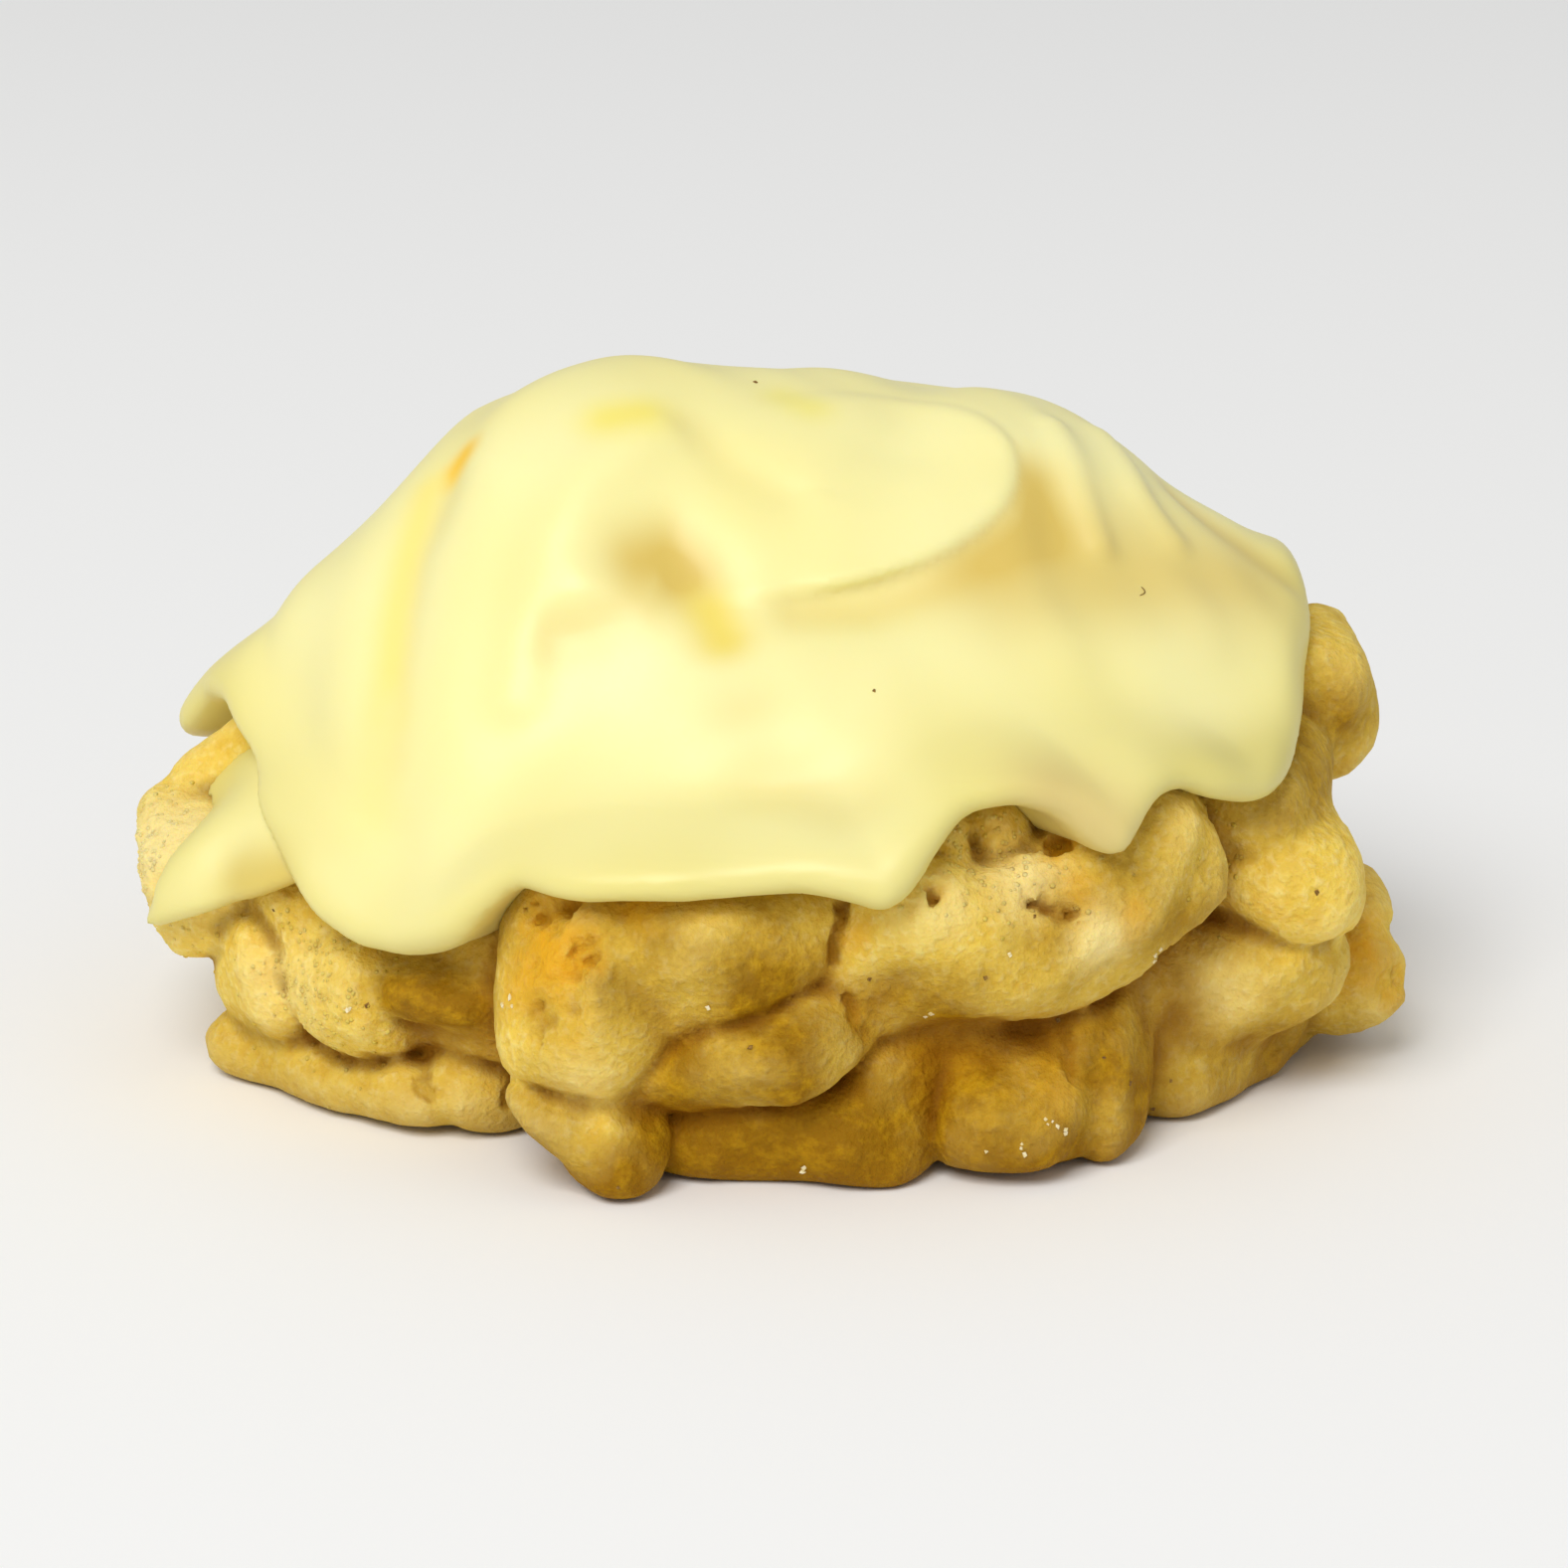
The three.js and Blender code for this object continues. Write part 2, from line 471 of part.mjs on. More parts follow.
const columns = Array.from({ length: COLUMNS }, (_, column) => {
  const azimuth = (2 * Math.PI * column) / COLUMNS;
  const edge = edgePolar(azimuth);
  const rim = baseRadius(azimuth);
  const rimPolar = Math.PI - Math.atan2(rim, CENTRE_HEIGHT);
  const onDough = reachOf(dough, outward(azimuth, edge));
  const coatPolars = Array.from({ length: COAT_ROWS + 1 }, (_, row) => coatPolar(row, edge));
  const coatRadii = coatPolars.map((polar) => {
    const direction = outward(azimuth, polar);
    return Math.max(reachOf(coat, direction), reachOf(dough, direction) + GAP);
  });
  coatRadii[COAT_ROWS] = onDough + GAP;
  const sidePolar = (_, i) => THREE.MathUtils.lerp(edge, rimPolar, (i + 1) / SIDE_ROWS);
  const sidePolars = Array.from({ length: SIDE_ROWS }, sidePolar);
  const sideRadii = sidePolars.map((polar) => reachOf(dough, outward(azimuth, polar)));
  sideRadii[SIDE_ROWS - 1] = Math.hypot(rim, CENTRE_HEIGHT);
  return { azimuth, onDough, coatPolars, coatRadii, sidePolars, sideRadii };
});

const point = (azimuth, polar, radius) => CENTRE.clone().addScaledVector(outward(azimuth, polar), radius);

// Under the icing the dough keeps one coat and a gap below the icing's outer face.
function underRadius(column, row, gap) {
  if (row === COVERED_ROWS) return column.onDough + GAP - gap;
  return column.coatRadii[row * ROWS_PER_COVERED_ROW] - COAT - gap;
}

function cookiePoint(row, column) {
  if (row <= COVERED_ROWS) {
    const polar = column.coatPolars[row * ROWS_PER_COVERED_ROW];
    return point(column.azimuth, polar, underRadius(column, row, GAP));
  }
  const side = row - COVERED_ROWS - 1;
  if (side === SIDE_ROWS) return new THREE.Vector3(0, 0, 0);
  return point(column.azimuth, column.sidePolars[side], column.sideRadii[side]);
}

function icingPoint(row, column) {
  if (row <= COAT_ROWS) return point(column.azimuth, column.coatPolars[row], column.coatRadii[row]);
  const under = COVERED_ROWS - (row - COAT_ROWS);
  const polar = column.coatPolars[under * ROWS_PER_COVERED_ROW];
  return point(column.azimuth, polar, underRadius(column, under, 0));
}

// From one row on, the squares of a sphere are split along their other diagonal, so that the icing's
// underside, whose rows run upwards, has the same facets as the dough below it.
function turnDiagonals(geometry, fromRow, rows) {
  const index = geometry.getIndex();
  for (let row = fromRow; row < rows - 1; row += 1) {
    for (let column = 0; column < COLUMNS; column += 1) {
      const first = row * (COLUMNS + 1) + column;
      const below = first + COLUMNS + 1;
      const at = 3 * (COLUMNS + 2 * (COLUMNS * (row - 1) + column));
      [first + 1, first, below, first + 1, below, below + 1].forEach((v, i) => index.setX(at + i, v));
    }
  }
}

// A sphere, stood on its pole, with each of its vertices moved to the place of its row and column.
function wrapped(rows, place, diagonalsTurnFrom = rows) {
  const geometry = new THREE.SphereGeometry(1, COLUMNS, rows).rotateX(Math.PI / 2);
  turnDiagonals(geometry, diagonalsTurnFrom, rows);
  const vertices = geometry.getAttribute("position");
  for (let i = 0; i < vertices.count; i += 1) {
    const row = Math.floor(i / (COLUMNS + 1));
    const moved = place(row, columns[(i % (COLUMNS + 1)) % COLUMNS]);
    vertices.setXYZ(i, moved.x, moved.y, moved.z);
  }
  geometry.computeVertexNormals();
  return geometry;
}

function part(name, geometry, color, roughness) {
  const mesh = new THREE.Mesh(geometry, new THREE.MeshStandardMaterial({ color, roughness, metalness: 0 }));
  mesh.name = name;
  return mesh;
}

const cookie = new THREE.Group();
cookie.add(part("cookie", wrapped(COVERED_ROWS + SIDE_ROWS + 1, cookiePoint), 0xc9a555, 0.9));
cookie.add(part("icing", wrapped(COAT_ROWS + COVERED_ROWS, icingPoint, COAT_ROWS), 0xfdf9b8, 0.4));

export default cookie;
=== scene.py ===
import itertools
import math

import bpy
import numpy as np
import openvdb
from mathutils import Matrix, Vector


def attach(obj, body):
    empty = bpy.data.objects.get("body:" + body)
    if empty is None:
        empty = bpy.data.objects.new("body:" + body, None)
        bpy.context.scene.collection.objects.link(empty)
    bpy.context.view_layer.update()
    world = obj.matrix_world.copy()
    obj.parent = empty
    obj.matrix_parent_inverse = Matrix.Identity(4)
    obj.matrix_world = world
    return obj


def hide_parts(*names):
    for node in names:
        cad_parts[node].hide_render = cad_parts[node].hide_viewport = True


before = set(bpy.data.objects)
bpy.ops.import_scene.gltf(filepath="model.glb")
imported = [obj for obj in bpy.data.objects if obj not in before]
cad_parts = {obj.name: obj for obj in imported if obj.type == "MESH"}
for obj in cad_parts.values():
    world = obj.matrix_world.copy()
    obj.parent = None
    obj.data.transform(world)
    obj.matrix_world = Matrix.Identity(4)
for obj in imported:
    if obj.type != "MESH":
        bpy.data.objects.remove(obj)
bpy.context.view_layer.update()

# ---- dough ----
# The biscuit under the icing: a soft dough of flour, butter, egg and coarse sugar, dropped on the
# baking sheet as a heap of lumps that ran together and cracked as they rose. It is one body, made
# as the zero surface of a field that is negative inside. Fields are in millimetres.
LOW = (-42.0, -35.0, -2.0)
HIGH = (42.0, 37.0, 47.0)
STEP = 0.35
FAR = 6.0  # distances are cut off here

BASE_ROUND = 2.0  # rounding of the edge of the flat underside
SAG = 7.0  # how softly the icing bridges the dips between the lumps
SHRINK = 1.4  # takes back what the soft bridging adds
CREASE = 3.6  # the deepest that a crease between two lumps goes
CREASE_ROUND = 1.5
SHALLOW = [  # places where the creases are not as deep: middle, reach, how much less
    ((12.2, -18.6, 19.6), 3.0, 2.6),
    ((-10.0, -23.5, 5.5), 4.0, 3.2),
    ((11.0, -20.0, 8.5), 5.0, 2.4),
]


def lump(name, at, half, turn=0, tilt=0, square=2.3, fillet=0.6, golden=0.5):
    """A lump of dough: centre, half sizes, turn about Z and tilt about Y in degrees.

    Squareness 2 is an ellipsoid and more is boxier. `fillet` is how deep the crease round it is
    filled, and `golden` how far it has browned.
    """
    shape = dict(at=at, half=half, turn=math.radians(turn), tilt=math.radians(tilt), square=square)
    return dict(shape, name=name, fillet=fillet, golden=golden)


def roll(name, line, fillet=0.6, golden=0.5):
    """A drawn-out lump: a line of points, each with the roll's radius there."""
    return dict(name=name, line=np.array(line, np.float32), fillet=fillet, golden=golden)


HEART = [
    lump("core_low", (0.0, 2.5, 9.5), (29.0, 24.5, 10.5), fillet=0.8),
    lump("core_mid", (0.5, 2.5, 17.5), (26.5, 22.5, 13.0), fillet=0.8),
    lump("mound_left", (-16.2, 3.0, 21.4), (11.4, 13.4, 11.6), square=2.0, fillet=4.0),
    lump("mound_peak", (-8.6, 2.5, 22.3), (12.8, 15.0, 18.0), square=2.0, fillet=4.0),
    lump("mound_saddle", (2.0, 2.5, 22.3), (11.4, 13.0, 15.9), square=2.0, fillet=4.0),
    lump("mound_right", (12.2, 4.5, 22.4), (12.6, 14.4, 15.5), square=2.0, fillet=4.0),
    lump("mound_end", (21.6, 4.0, 20.5), (9.7, 12.4, 10.0), square=2.2, fillet=2.0),
]
BASE = [
    lump("base_ledge", (-24.6, -8.0, 1.2), (11.0, 6.0, 3.2), turn=-40, golden=-0.15),
    lump("base_left", (-25.5, 2.0, 3.6), (7.6, 7.6, 5.4), golden=0.35),
    lump("base_knob", (-16.2, -13.2, 1.6), (3.6, 5.0, 3.6), square=2.2, golden=0.3),
    lump("corner", (-8.5, -21.0, 1.6), (2.7, 7.3, 4.0), square=2.5, golden=1.35),
    roll("corner_flap", [
        (-12.6, -24.0, 4.9, 1.4), (-11.0, -25.4, 3.6, 1.8), (-9.9, -26.2, 2.3, 1.5),
    ], fillet=0.4, golden=0.8),
    roll("corner_curl", [(-9.8, -26.4, 3.3, 0.9), (-8.9, -26.8, 4.2, 0.6)], fillet=0.3, golden=0.2),
    lump("foot_mid", (1.4, -17.7, 1.2), (9.2, 8.6, 5.0), square=2.8, golden=1.4),
    lump("foot_rise", (7.3, -17.9, 4.7), (4.2, 6.8, 4.6), fillet=1.5, golden=1.0),
    lump("foot_right", (14.0, -18.9, 2.9), (5.4, 6.6, 5.0), tilt=-12, fillet=0.4, golden=1.15),
    lump("foot_back", (16.6, -15.8, 4.8), (4.2, 6.4, 5.4), golden=1.2),
    lump("wedge", (19.3, -16.2, 2.8), (2.2, 6.2, 6.6), golden=1.0),
    lump("right_base", (25.2, -4.6, 2.6), (6.4, 11.4, 5.4), turn=-32, square=2.4, fillet=1.0, golden=0.9),
    lump("right_fill", (22.4, -7.0, 4.6), (4.6, 7.0, 5.2), square=2.2, fillet=1.5, golden=0.65),
    lump("right_pale", (27.5, -6.4, 7.6), (5.8, 8.6, 4.4), square=2.5, fillet=2.0, golden=0.8),
    lump("lobe_right", (34.1, -1.2, 5.3), (3.2, 5.0, 4.0), square=2.8, fillet=0.5),
    lump("lobe_right_top", (35.6, 0.0, 9.0), (2.3, 3.6, 1.8)),
]
SIDES = [
    lump("right_mid", (30.0, -7.8, 14.1), (4.7, 7.0, 4.0), fillet=1.0, golden=0.3),
    lump("right_top", (31.6, 5.5, 20.6), (4.3, 8.0, 5.3), square=3.2, fillet=0.8),
    lump("right_shoulder", (27.9, -5.2, 18.3), (5.8, 7.8, 4.0), square=2.2, fillet=1.0, golden=0.75),
    lump("ball_small", (-28.8, -6.4, 6.6), (4.2, 5.4, 4.2), square=2.2, golden=0.3),
    lump("ball_right", (-17.2, -13.0, 8.7), (5.2, 6.6, 3.0), square=2.2, golden=1.0),
    lump("ball_big", (-22.6, -10.4, 7.8), (5.6, 6.8, 4.7), fillet=0.8, golden=0.2),
    lump("lobe_left", (-30.2, -1.0, 11.6), (7.4, 8.2, 5.0), square=3.2, golden=0.05),
    lump("lobe_under", (-24.4, -6.2, 12.0), (5.2, 7.8, 4.0), square=2.2, fillet=1.0, golden=0.3),
    lump("back_left", (-26.8, 8.0, 13.6), (6.4, 8.6, 6.0), fillet=0.8, golden=0.4),
    lump("rear_left", (-24.6, 5.5, 16.9), (4.4, 5.5, 4.8), square=2.0, fillet=1.5, golden=0.2),
    roll("rear_strip", [(-28.8, 1.4, 20.4, 2.4), (-32.4, 0.8, 15.9, 2.8)], fillet=0.8, golden=0.15),
]
# One fold of dough that lies across the front: a blunt nose on the left, a shelf, and a rounded
# roll that runs up to the right.
FRONT = [
    lump("tongue", (-0.8, -20.2, 7.9), (8.2, 7.8, 2.9), tilt=15, fillet=0.4, golden=0.98),
    [
        lump("nose", (-10.3, -19.2, 10.7), (5.8, 9.1, 7.3), square=2.0, golden=0.52),
        roll("nose_slope", [
            (-9.2, -22.6, 10.2, 4.4), (-3.6, -22.4, 13.9, 4.0), (1.8, -21.8, 15.2, 3.4),
        ], fillet=1.0, golden=0.6),
        lump("slab", (-2.0, -17.8, 14.1), (7.2, 8.4, 4.5), tilt=12, square=2.8, fillet=2.6, golden=1.35),
    ],
    [
        roll("log", [
            (6.4, -21.4, 11.7, 3.9), (10.0, -21.2, 13.1, 4.2), (15.0, -20.0, 13.9, 4.3),
            (19.8, -18.6, 14.4, 4.1), (21.6, -16.2, 14.9, 3.8),
        ], golden=0.75),
        lump("neck", (7.1, -19.0, 15.4), (4.2, 6.6, 4.0), square=2.4, fillet=1.6, golden=0.2),
        lump("slope", (19.8, -12.8, 17.6), (5.2, 7.6, 4.6), fillet=2.0, golden=0.55),
    ],
    lump("pit_left", (9.9, -16.8, 18.7), (2.1, 4.6, 2.3), fillet=0.5, golden=0.3),
    lump("pit_right", (13.9, -16.4, 19.2), (2.2, 4.2, 2.4), fillet=0.4, golden=0.1),
]
JOIN = 0.5  # how softly a group of run-together lumps meets the rest

# The back is three rows of lumps, laid round it like courses of stones.
BACK_ROWS = [  # height, half width and half depth of the row, size and number of its lumps, half height
    (3.0, 27.5, 24.5, 7.2, 8, 4.8),
    (10.5, 27.0, 25.0, 6.6, 9, 4.4),
    (18.0, 26.0, 24.0, 6.4, 8, 4.4),
]
BACK_FROM, BACK_SWEEP = 14, 150  # degrees round from the right-hand end
BACK_STAGGER, BACK_STRAY = 0.5, 0.35  # every other row is shifted, and each lump a little more
BACK_LEAST, BACK_SPREAD = 0.8, 0.45  # how much the lumps differ in size
BACK_LEAST_DEPTH, BACK_DEPTH_SPREAD = 0.9, 0.3
BACK_RISE = 3  # millimetres up and down
BACK_TILT = 30  # degrees
BACK_PALEST, BACK_GOLDEN_SPREAD = 0.2, 0.7
DRAWS_PER_LUMP = 5


def chance(n):
    """A repeatable number from 0 to 1 for the n-th draw: the fraction of a large sine."""
    value = math.sin(n * 12.9898 + 4.1414) * 43758.5453
    return value - math.floor(value)


def back_lumps():
    """The lumps of the back, each a little out of its place in its row."""
    made = []
    draw = 0
    for row, (height, half_width, half_depth, size, count, tall) in enumerate(BACK_ROWS):
        for i in range(count):
            draw += DRAWS_PER_LUMP
            place = i + BACK_STAGGER * (row % 2) + BACK_STRAY * (chance(draw) - 0.5)
            turn = BACK_FROM + BACK_SWEEP * (place / (count - 0.5))
            grow = BACK_LEAST + BACK_SPREAD * chance(draw + 1)
            at = (
                half_width * math.cos(math.radians(turn)),
                half_depth * math.sin(math.radians(turn)),
                height + BACK_RISE * (chance(draw + 2) - 0.5),
            )
            deep = size * (BACK_LEAST_DEPTH + BACK_DEPTH_SPREAD * chance(draw + 3))
            tilt = BACK_TILT * (chance(draw + 4) - 0.5)
            golden = BACK_PALEST + BACK_GOLDEN_SPREAD * chance(draw + 6)
            half = (size * grow, deep, tall * grow)
            made.append(
                lump(f"back_{row}_{i}", at, half, turn=turn - 90, tilt=tilt, fillet=0.7, golden=golden)
            )
    return made


MASSES = [one if isinstance(one, list) else [one] for one in HEART + BASE + SIDES + FRONT + back_lumps()]
LUMPS = [one for mass in MASSES for one in mass]

# Slow waves that bend the lumps, so that none is a plain ellipsoid: size, length, direction, phase.
WAVES = [
    (0.50, 15.0, (0.62, 0.31, 0.72), 0.3),
    (0.42, 11.5, (-0.41, 0.80, 0.44), 1.9),
    (0.30, 8.6, (0.77, -0.52, 0.37), 4.1),
    (0.16, 5.9, (-0.29, -0.63, 0.72), 2.6),
    (0.10, 4.3, (0.58, 0.66, -0.48), 5.2),
]


def smooth_min(a, b, reach):
    """The lower of two fields, rounded where they are within `reach` of each other."""
    blend = np.maximum(reach - np.abs(a - b), 0) / reach
    return np.minimum(a, b) - blend * blend * reach / 4


def smooth_max(a, b, reach):
    """The higher of two fields, rounded in the same way."""
    return -smooth_min(-a, -b, reach)


def bend(x, y, z):
    """Points moved by all the slow waves."""
    dx = dy = dz = 0.0
    for size, length, along, phase in WAVES:
        turn = 2 * math.pi / length * (along[0] * x + along[1] * y + along[2] * z) + phase
        dx = dx + size * np.sin(turn)
        dy = dy + size * np.sin(1.07 * turn + 2.1)
        dz = dz + 0.7 * size * np.sin(0.93 * turn + 4.2)
    return x + dx, y + dy, z + dz


def lump_distance(px, py, pz, one):
    """About how far some points are outside a lump; negative inside it."""
    (ax, ay, az), half, square = one["at"], one["half"], one["square"]
    c, s = math.cos(one["turn"]), math.sin(one["turn"])
    ct, st = math.cos(one["tilt"]), math.sin(one["tilt"])
    x0, y0, z0 = px - ax, py - ay, pz - az
    x1, y = c * x0 + s * y0, c * y0 - s * x0
    x, z = ct * x1 + st * z0, ct * z0 - st * x1
    u, v, w = np.abs(x / half[0]), np.abs(y / half[1]), np.abs(z / half[2])
    size = np.maximum((u**square + v**square + w**square) ** (1 / square), 1e-3)
    slope = np.sqrt(
        (u ** (square - 1) / half[0]) ** 2
        + (v ** (square - 1) / half[1]) ** 2
        + (w ** (square - 1) / half[2]) ** 2
    ) / size ** (square - 1)
    return (size - 1) / np.maximum(slope, 1e-4)


def line_distance(px, py, pz, line):
    """Squared distance from a line of points, and the line's own radius, if any, where it is nearest."""
    nearest = np.full(px.shape, 1e9, np.float32)
    radius = np.zeros(px.shape, np.float32)
    for a, b in zip(line[:-1], line[1:]):
        ux, uy, uz = b[0] - a[0], b[1] - a[1], b[2] - a[2]
        ahead = (px - a[0]) * ux + (py - a[1]) * uy + (pz - a[2]) * uz
        t = np.clip(ahead / (ux * ux + uy * uy + uz * uz), 0, 1)
        away = (px - a[0] - t * ux) ** 2 + (py - a[1] - t * uy) ** 2 + (pz - a[2] - t * uz) ** 2
        if len(a) > 3:
            radius = np.where(away < nearest, a[3] + t * (b[3] - a[3]), radius)
        nearest = np.minimum(nearest, away)
    return nearest, radius


def piece_distance(px, py, pz, one):
    """How far some points are outside a lump or a roll."""
    if "line" in one:
        away, radius = line_distance(px, py, pz, one["line"])
        return np.sqrt(away) - radius
    return lump_distance(px, py, pz, one)


TURNED_ROOM, STRAIGHT_ROOM = 1.1, 1.02  # how far a boxy lump's corners may stand out of its half sizes


def piece_box(one):
    """Middle and half sizes of a box round a lump or a roll."""
    if "line" in one:
        line = one["line"]
        low = (line[:, :3] - line[:, 3:]).min(0)
        high = (line[:, :3] + line[:, 3:]).max(0)
        return (low + high) / 2, (high - low) / 2
    half = one["half"]
    flat = max(half[0], half[1]) * (TURNED_ROOM if one["turn"] else STRAIGHT_ROOM)
    return one["at"], (flat, flat, half[2] + half[0] * abs(math.sin(one["tilt"])))


def axes_of_grid(step):
    """The places of the grid's points along X, Y and Z."""
    return [np.arange(LOW[i], HIGH[i] + step, step, dtype=np.float32) for i in range(3)]


def window(mass, step, margin):
    """The part of the grid that lies within `margin` of a mass of lumps."""
    boxes = [piece_box(one) for one in mass]
    spans = []
    for i in range(3):
        low = min(middle[i] - half[i] for middle, half in boxes) - margin - LOW[i]
        high = max(middle[i] + half[i] for middle, half in boxes) + margin - LOW[i]
        spans.append(slice(max(0, int(low / step)), max(0, int(high / step) + 2)))
    return tuple(spans)


def looked_up(values, step, x, y, z):
    """The field at any points, between the values of its grid."""
    at = [(p - LOW[i]) / step for i, p in enumerate((x, y, z))]
    low = [np.clip(np.floor(p).astype(np.int32), 0, values.shape[i] - 2) for i, p in enumerate(at)]
    share = [np.clip(p - q, 0, 1) for p, q in zip(at, low)]
    total = 0
    for corner in itertools.product((0, 1), repeat=3):
        weight = 1
        for i in range(3):
            weight = weight * (share[i] if corner[i] else 1 - share[i])
        total = total + weight * values[tuple(low[i] + corner[i] for i in range(3))]
    return total


# The surface that the icing lies on, on a coarse grid: every dip between the lumps is bridged.
DRAPE_STEP = 0.8
DRAPE_FAR = 12.0
LUMP_REACH = 4.7  # farther out a lump changes nothing
coarse = np.meshgrid(*axes_of_grid(DRAPE_STEP), indexing="ij")
drape = np.full(coarse[0].shape, DRAPE_FAR, np.float32)
for one in LUMPS:
    drape = smooth_min(drape, np.minimum(piece_distance(*coarse, one), DRAPE_FAR), SAG)
drape += SHRINK

X, Y, Z = np.meshgrid(*axes_of_grid(STEP), indexing="ij")
lain = looked_up(drape, DRAPE_STEP, X, Y, Z).astype(np.float32)
bent = bend(X, Y, Z)
dough = np.full(X.shape, FAR, np.float32)
for mass in MASSES:
    near = window(mass, STEP, LUMP_REACH)
    here = [c[near] for c in bent]
    run_together = piece_distance(*here, mass[0])
    for one in mass[1:]:
        run_together = smooth_min(run_together, piece_distance(*here, one), one["fillet"])
    dough[near] = smooth_min(dough[near], run_together, mass[0]["fillet"] if len(mass) == 1 else JOIN)


def nearness(places, middle, reach):
    """1 at a point, less away from it, and almost 0 at twice `reach`."""
    return np.exp(-sum((place - m) ** 2 for place, m in zip(places, middle)) / reach**2)


depth = np.full(X.shape, CREASE, np.float32)
for middle, reach, less in SHALLOW:
    depth -= less * nearness((X, Y, Z), middle, reach)
dough = smooth_min(dough, lain + depth, CREASE_ROUND)

TILE = 16  # the pattern of crumbs repeats after this many


def pebbles(x, y, z, size, seed):
    """0 at the middle of a crumb of about that size and near 1 in the joints between crumbs."""
    places = np.random.default_rng(seed).random((TILE, TILE, TILE, 3), np.float32)
    cell = [np.floor(c / size).astype(np.int32) for c in (x, y, z)]
    nearest = np.full(x.shape, 4.0, np.float32)
    for shift in itertools.product((-1, 0, 1), repeat=3):
        at = [c + s for c, s in zip(cell, shift)]
        place = places[at[0] % TILE, at[1] % TILE, at[2] % TILE]
        away = sum(((at[i] + place[:, i]) - c / size) ** 2 for i, c in enumerate((x, y, z)))
        nearest = np.minimum(nearest, away)
    return np.minimum(np.sqrt(nearest), 1)


def surface_point(field, azimuth, height):
    """The outermost point of a field's surface at an azimuth (0 right, 270 front) and a height."""
    along = np.arange(45.0, 5.0, -0.1, dtype=np.float32)  # millimetres from the middle, inwards
    turn = math.radians(azimuth)
    x, y = along * math.cos(turn), along * math.sin(turn)
    values = looked_up(field, STEP, x, y, np.full_like(along, height))
    first = int(np.argmax(values < 0))
    return np.array((x[first], y[first], height), np.float32)


# Bubbles and hollows that opened in the skin: name, azimuth, height, radius, how far the middle lies
# under the skin, softness of the rim, and how far the inside has browned.
HOLLOWS = [
    ("bubble", 308.8, 18.8, 0.95, 0.60, 0.15, 1.0),
    ("bubble_small", 290.6, 17.6, 0.65, 0.30, 0.2, 0.5),
    ("ridge_hollow", 303.4, 17.0, 1.3, -0.60, 0.5, 0.25),
    ("ridge_hollow_right", 305.8, 16.1, 1.0, -0.45, 0.4, 0.35),
    ("nose_pit", 248.3, 14.1, 0.95, 0.55, 0.35, 1.0),
    ("nose_pit_mouth", 249.0, 15.1, 1.3, -0.5, 0.6, 0.9),
    ("nose_pit_small", 242.0, 13.2, 0.5, 0.15, 0.3, 0.9),
    ("nose_top", 243.5, 16.6, 1.4, -0.5, 0.8, 1.0),
    ("nose_top_left", 239.5, 15.6, 1.0, -0.3, 0.5, 1.0),
    ("nose_cheek", 246.3, 12.2, 2.4, -1.5, 1.2, 0.7),
    ("nose_side", 243.6, 10.9, 1.5, -0.9, 0.8, 0.6),
    ("right_gap", 333.6, 16.4, 0.9, 0.1, 0.4, 0.8),
    ("right_dimple", 321.0, 11.6, 0.9, -0.3, 0.5, 0.7),
    ("lobe_dimple", 350.3, 5.7, 1.6, -0.9, 1.0, 0.8),
]
# Cracks: name, half width, how far the middle lies under the skin, then azimuth and height along it.
CRACKS = [
    ("slab_end", 0.34, 0.05, [(279.9, 17.0), (279.5, 15.8), (278.5, 14.7), (278.0, 13.5)]),
    ("tongue_end", 0.32, 0.05, [(280.4, 11.3), (280.8, 10.2), (283.0, 8.9)]),
    ("foot_side", 0.28, 0.02, [(308.9, 7.8), (308.1, 6.4), (307.6, 5.6)]),
    ("knob_side", 0.32, 0.05, [(229.3, 3.2), (229.6, 2.4)]),
    ("knob_gap", 0.32, 0.05, [(219.9, 3.7), (222.1, 2.8)]),
]
CRACK_POINTS = 12
CRACK_WANDER = 0.5  # degrees to either side
CRACK_RIM = 0.2
CARVED_WITHIN = 4.0  # hollows and cracks stay this near the skin


def under_skin(azimuth, height, depth):
    """The point `depth` inside the skin at an azimuth and a height."""
    point = surface_point(dough, azimuth, height)
    inward = np.array((point[0], point[1], 0.0)) / math.hypot(point[0], point[1])
    return point - depth * inward


def jagged(x, y, z):
    """Short waves that make the rims of hollows and cracks ragged."""
    shifts = [
        0.22 * np.sin(4.1 * a + 1.7 * b + phase) + 0.16 * np.sin(6.3 * b - 3.9 * c + 2 * phase)
        for a, b, c, phase in ((x, y, z, 0.4), (y, z, x, 2.2), (z, x, y, 4.5))
    ]
    return x + shifts[0], y + shifts[1], z + shifts[2]


near = np.abs(dough) < CARVED_WITHIN
points = [c[near] for c in (X, Y, Z)]
ragged = jagged(*points)
skin = dough[near]
hollow_middles = [under_skin(azimuth, height, deep) for _, azimuth, height, _, deep, _, _ in HOLLOWS]
for (_, _, _, radius, _, rim, _), middle in zip(HOLLOWS, hollow_middles):
    away = np.sqrt(sum((c - m) ** 2 for c, m in zip(ragged, middle)))
    skin = smooth_max(skin, radius - away, rim)
wander = np.random.default_rng(41)
crack_lines = []
for _, _, deep, line in CRACKS:
    shares = np.linspace(0, len(line) - 1, CRACK_POINTS)
    places = zip(*(np.interp(shares, range(len(line)), values) for values in np.array(line).T))
    crack_lines.append([
        under_skin(azimuth + wander.uniform(-CRACK_WANDER, CRACK_WANDER), height, deep)
        for azimuth, height in places
    ])
for (_, half_width, _, _), line in zip(CRACKS, crack_lines):
    skin = smooth_max(skin, half_width - np.sqrt(line_distance(*points, line)[0]), CRACK_RIM)
dough[near] = skin

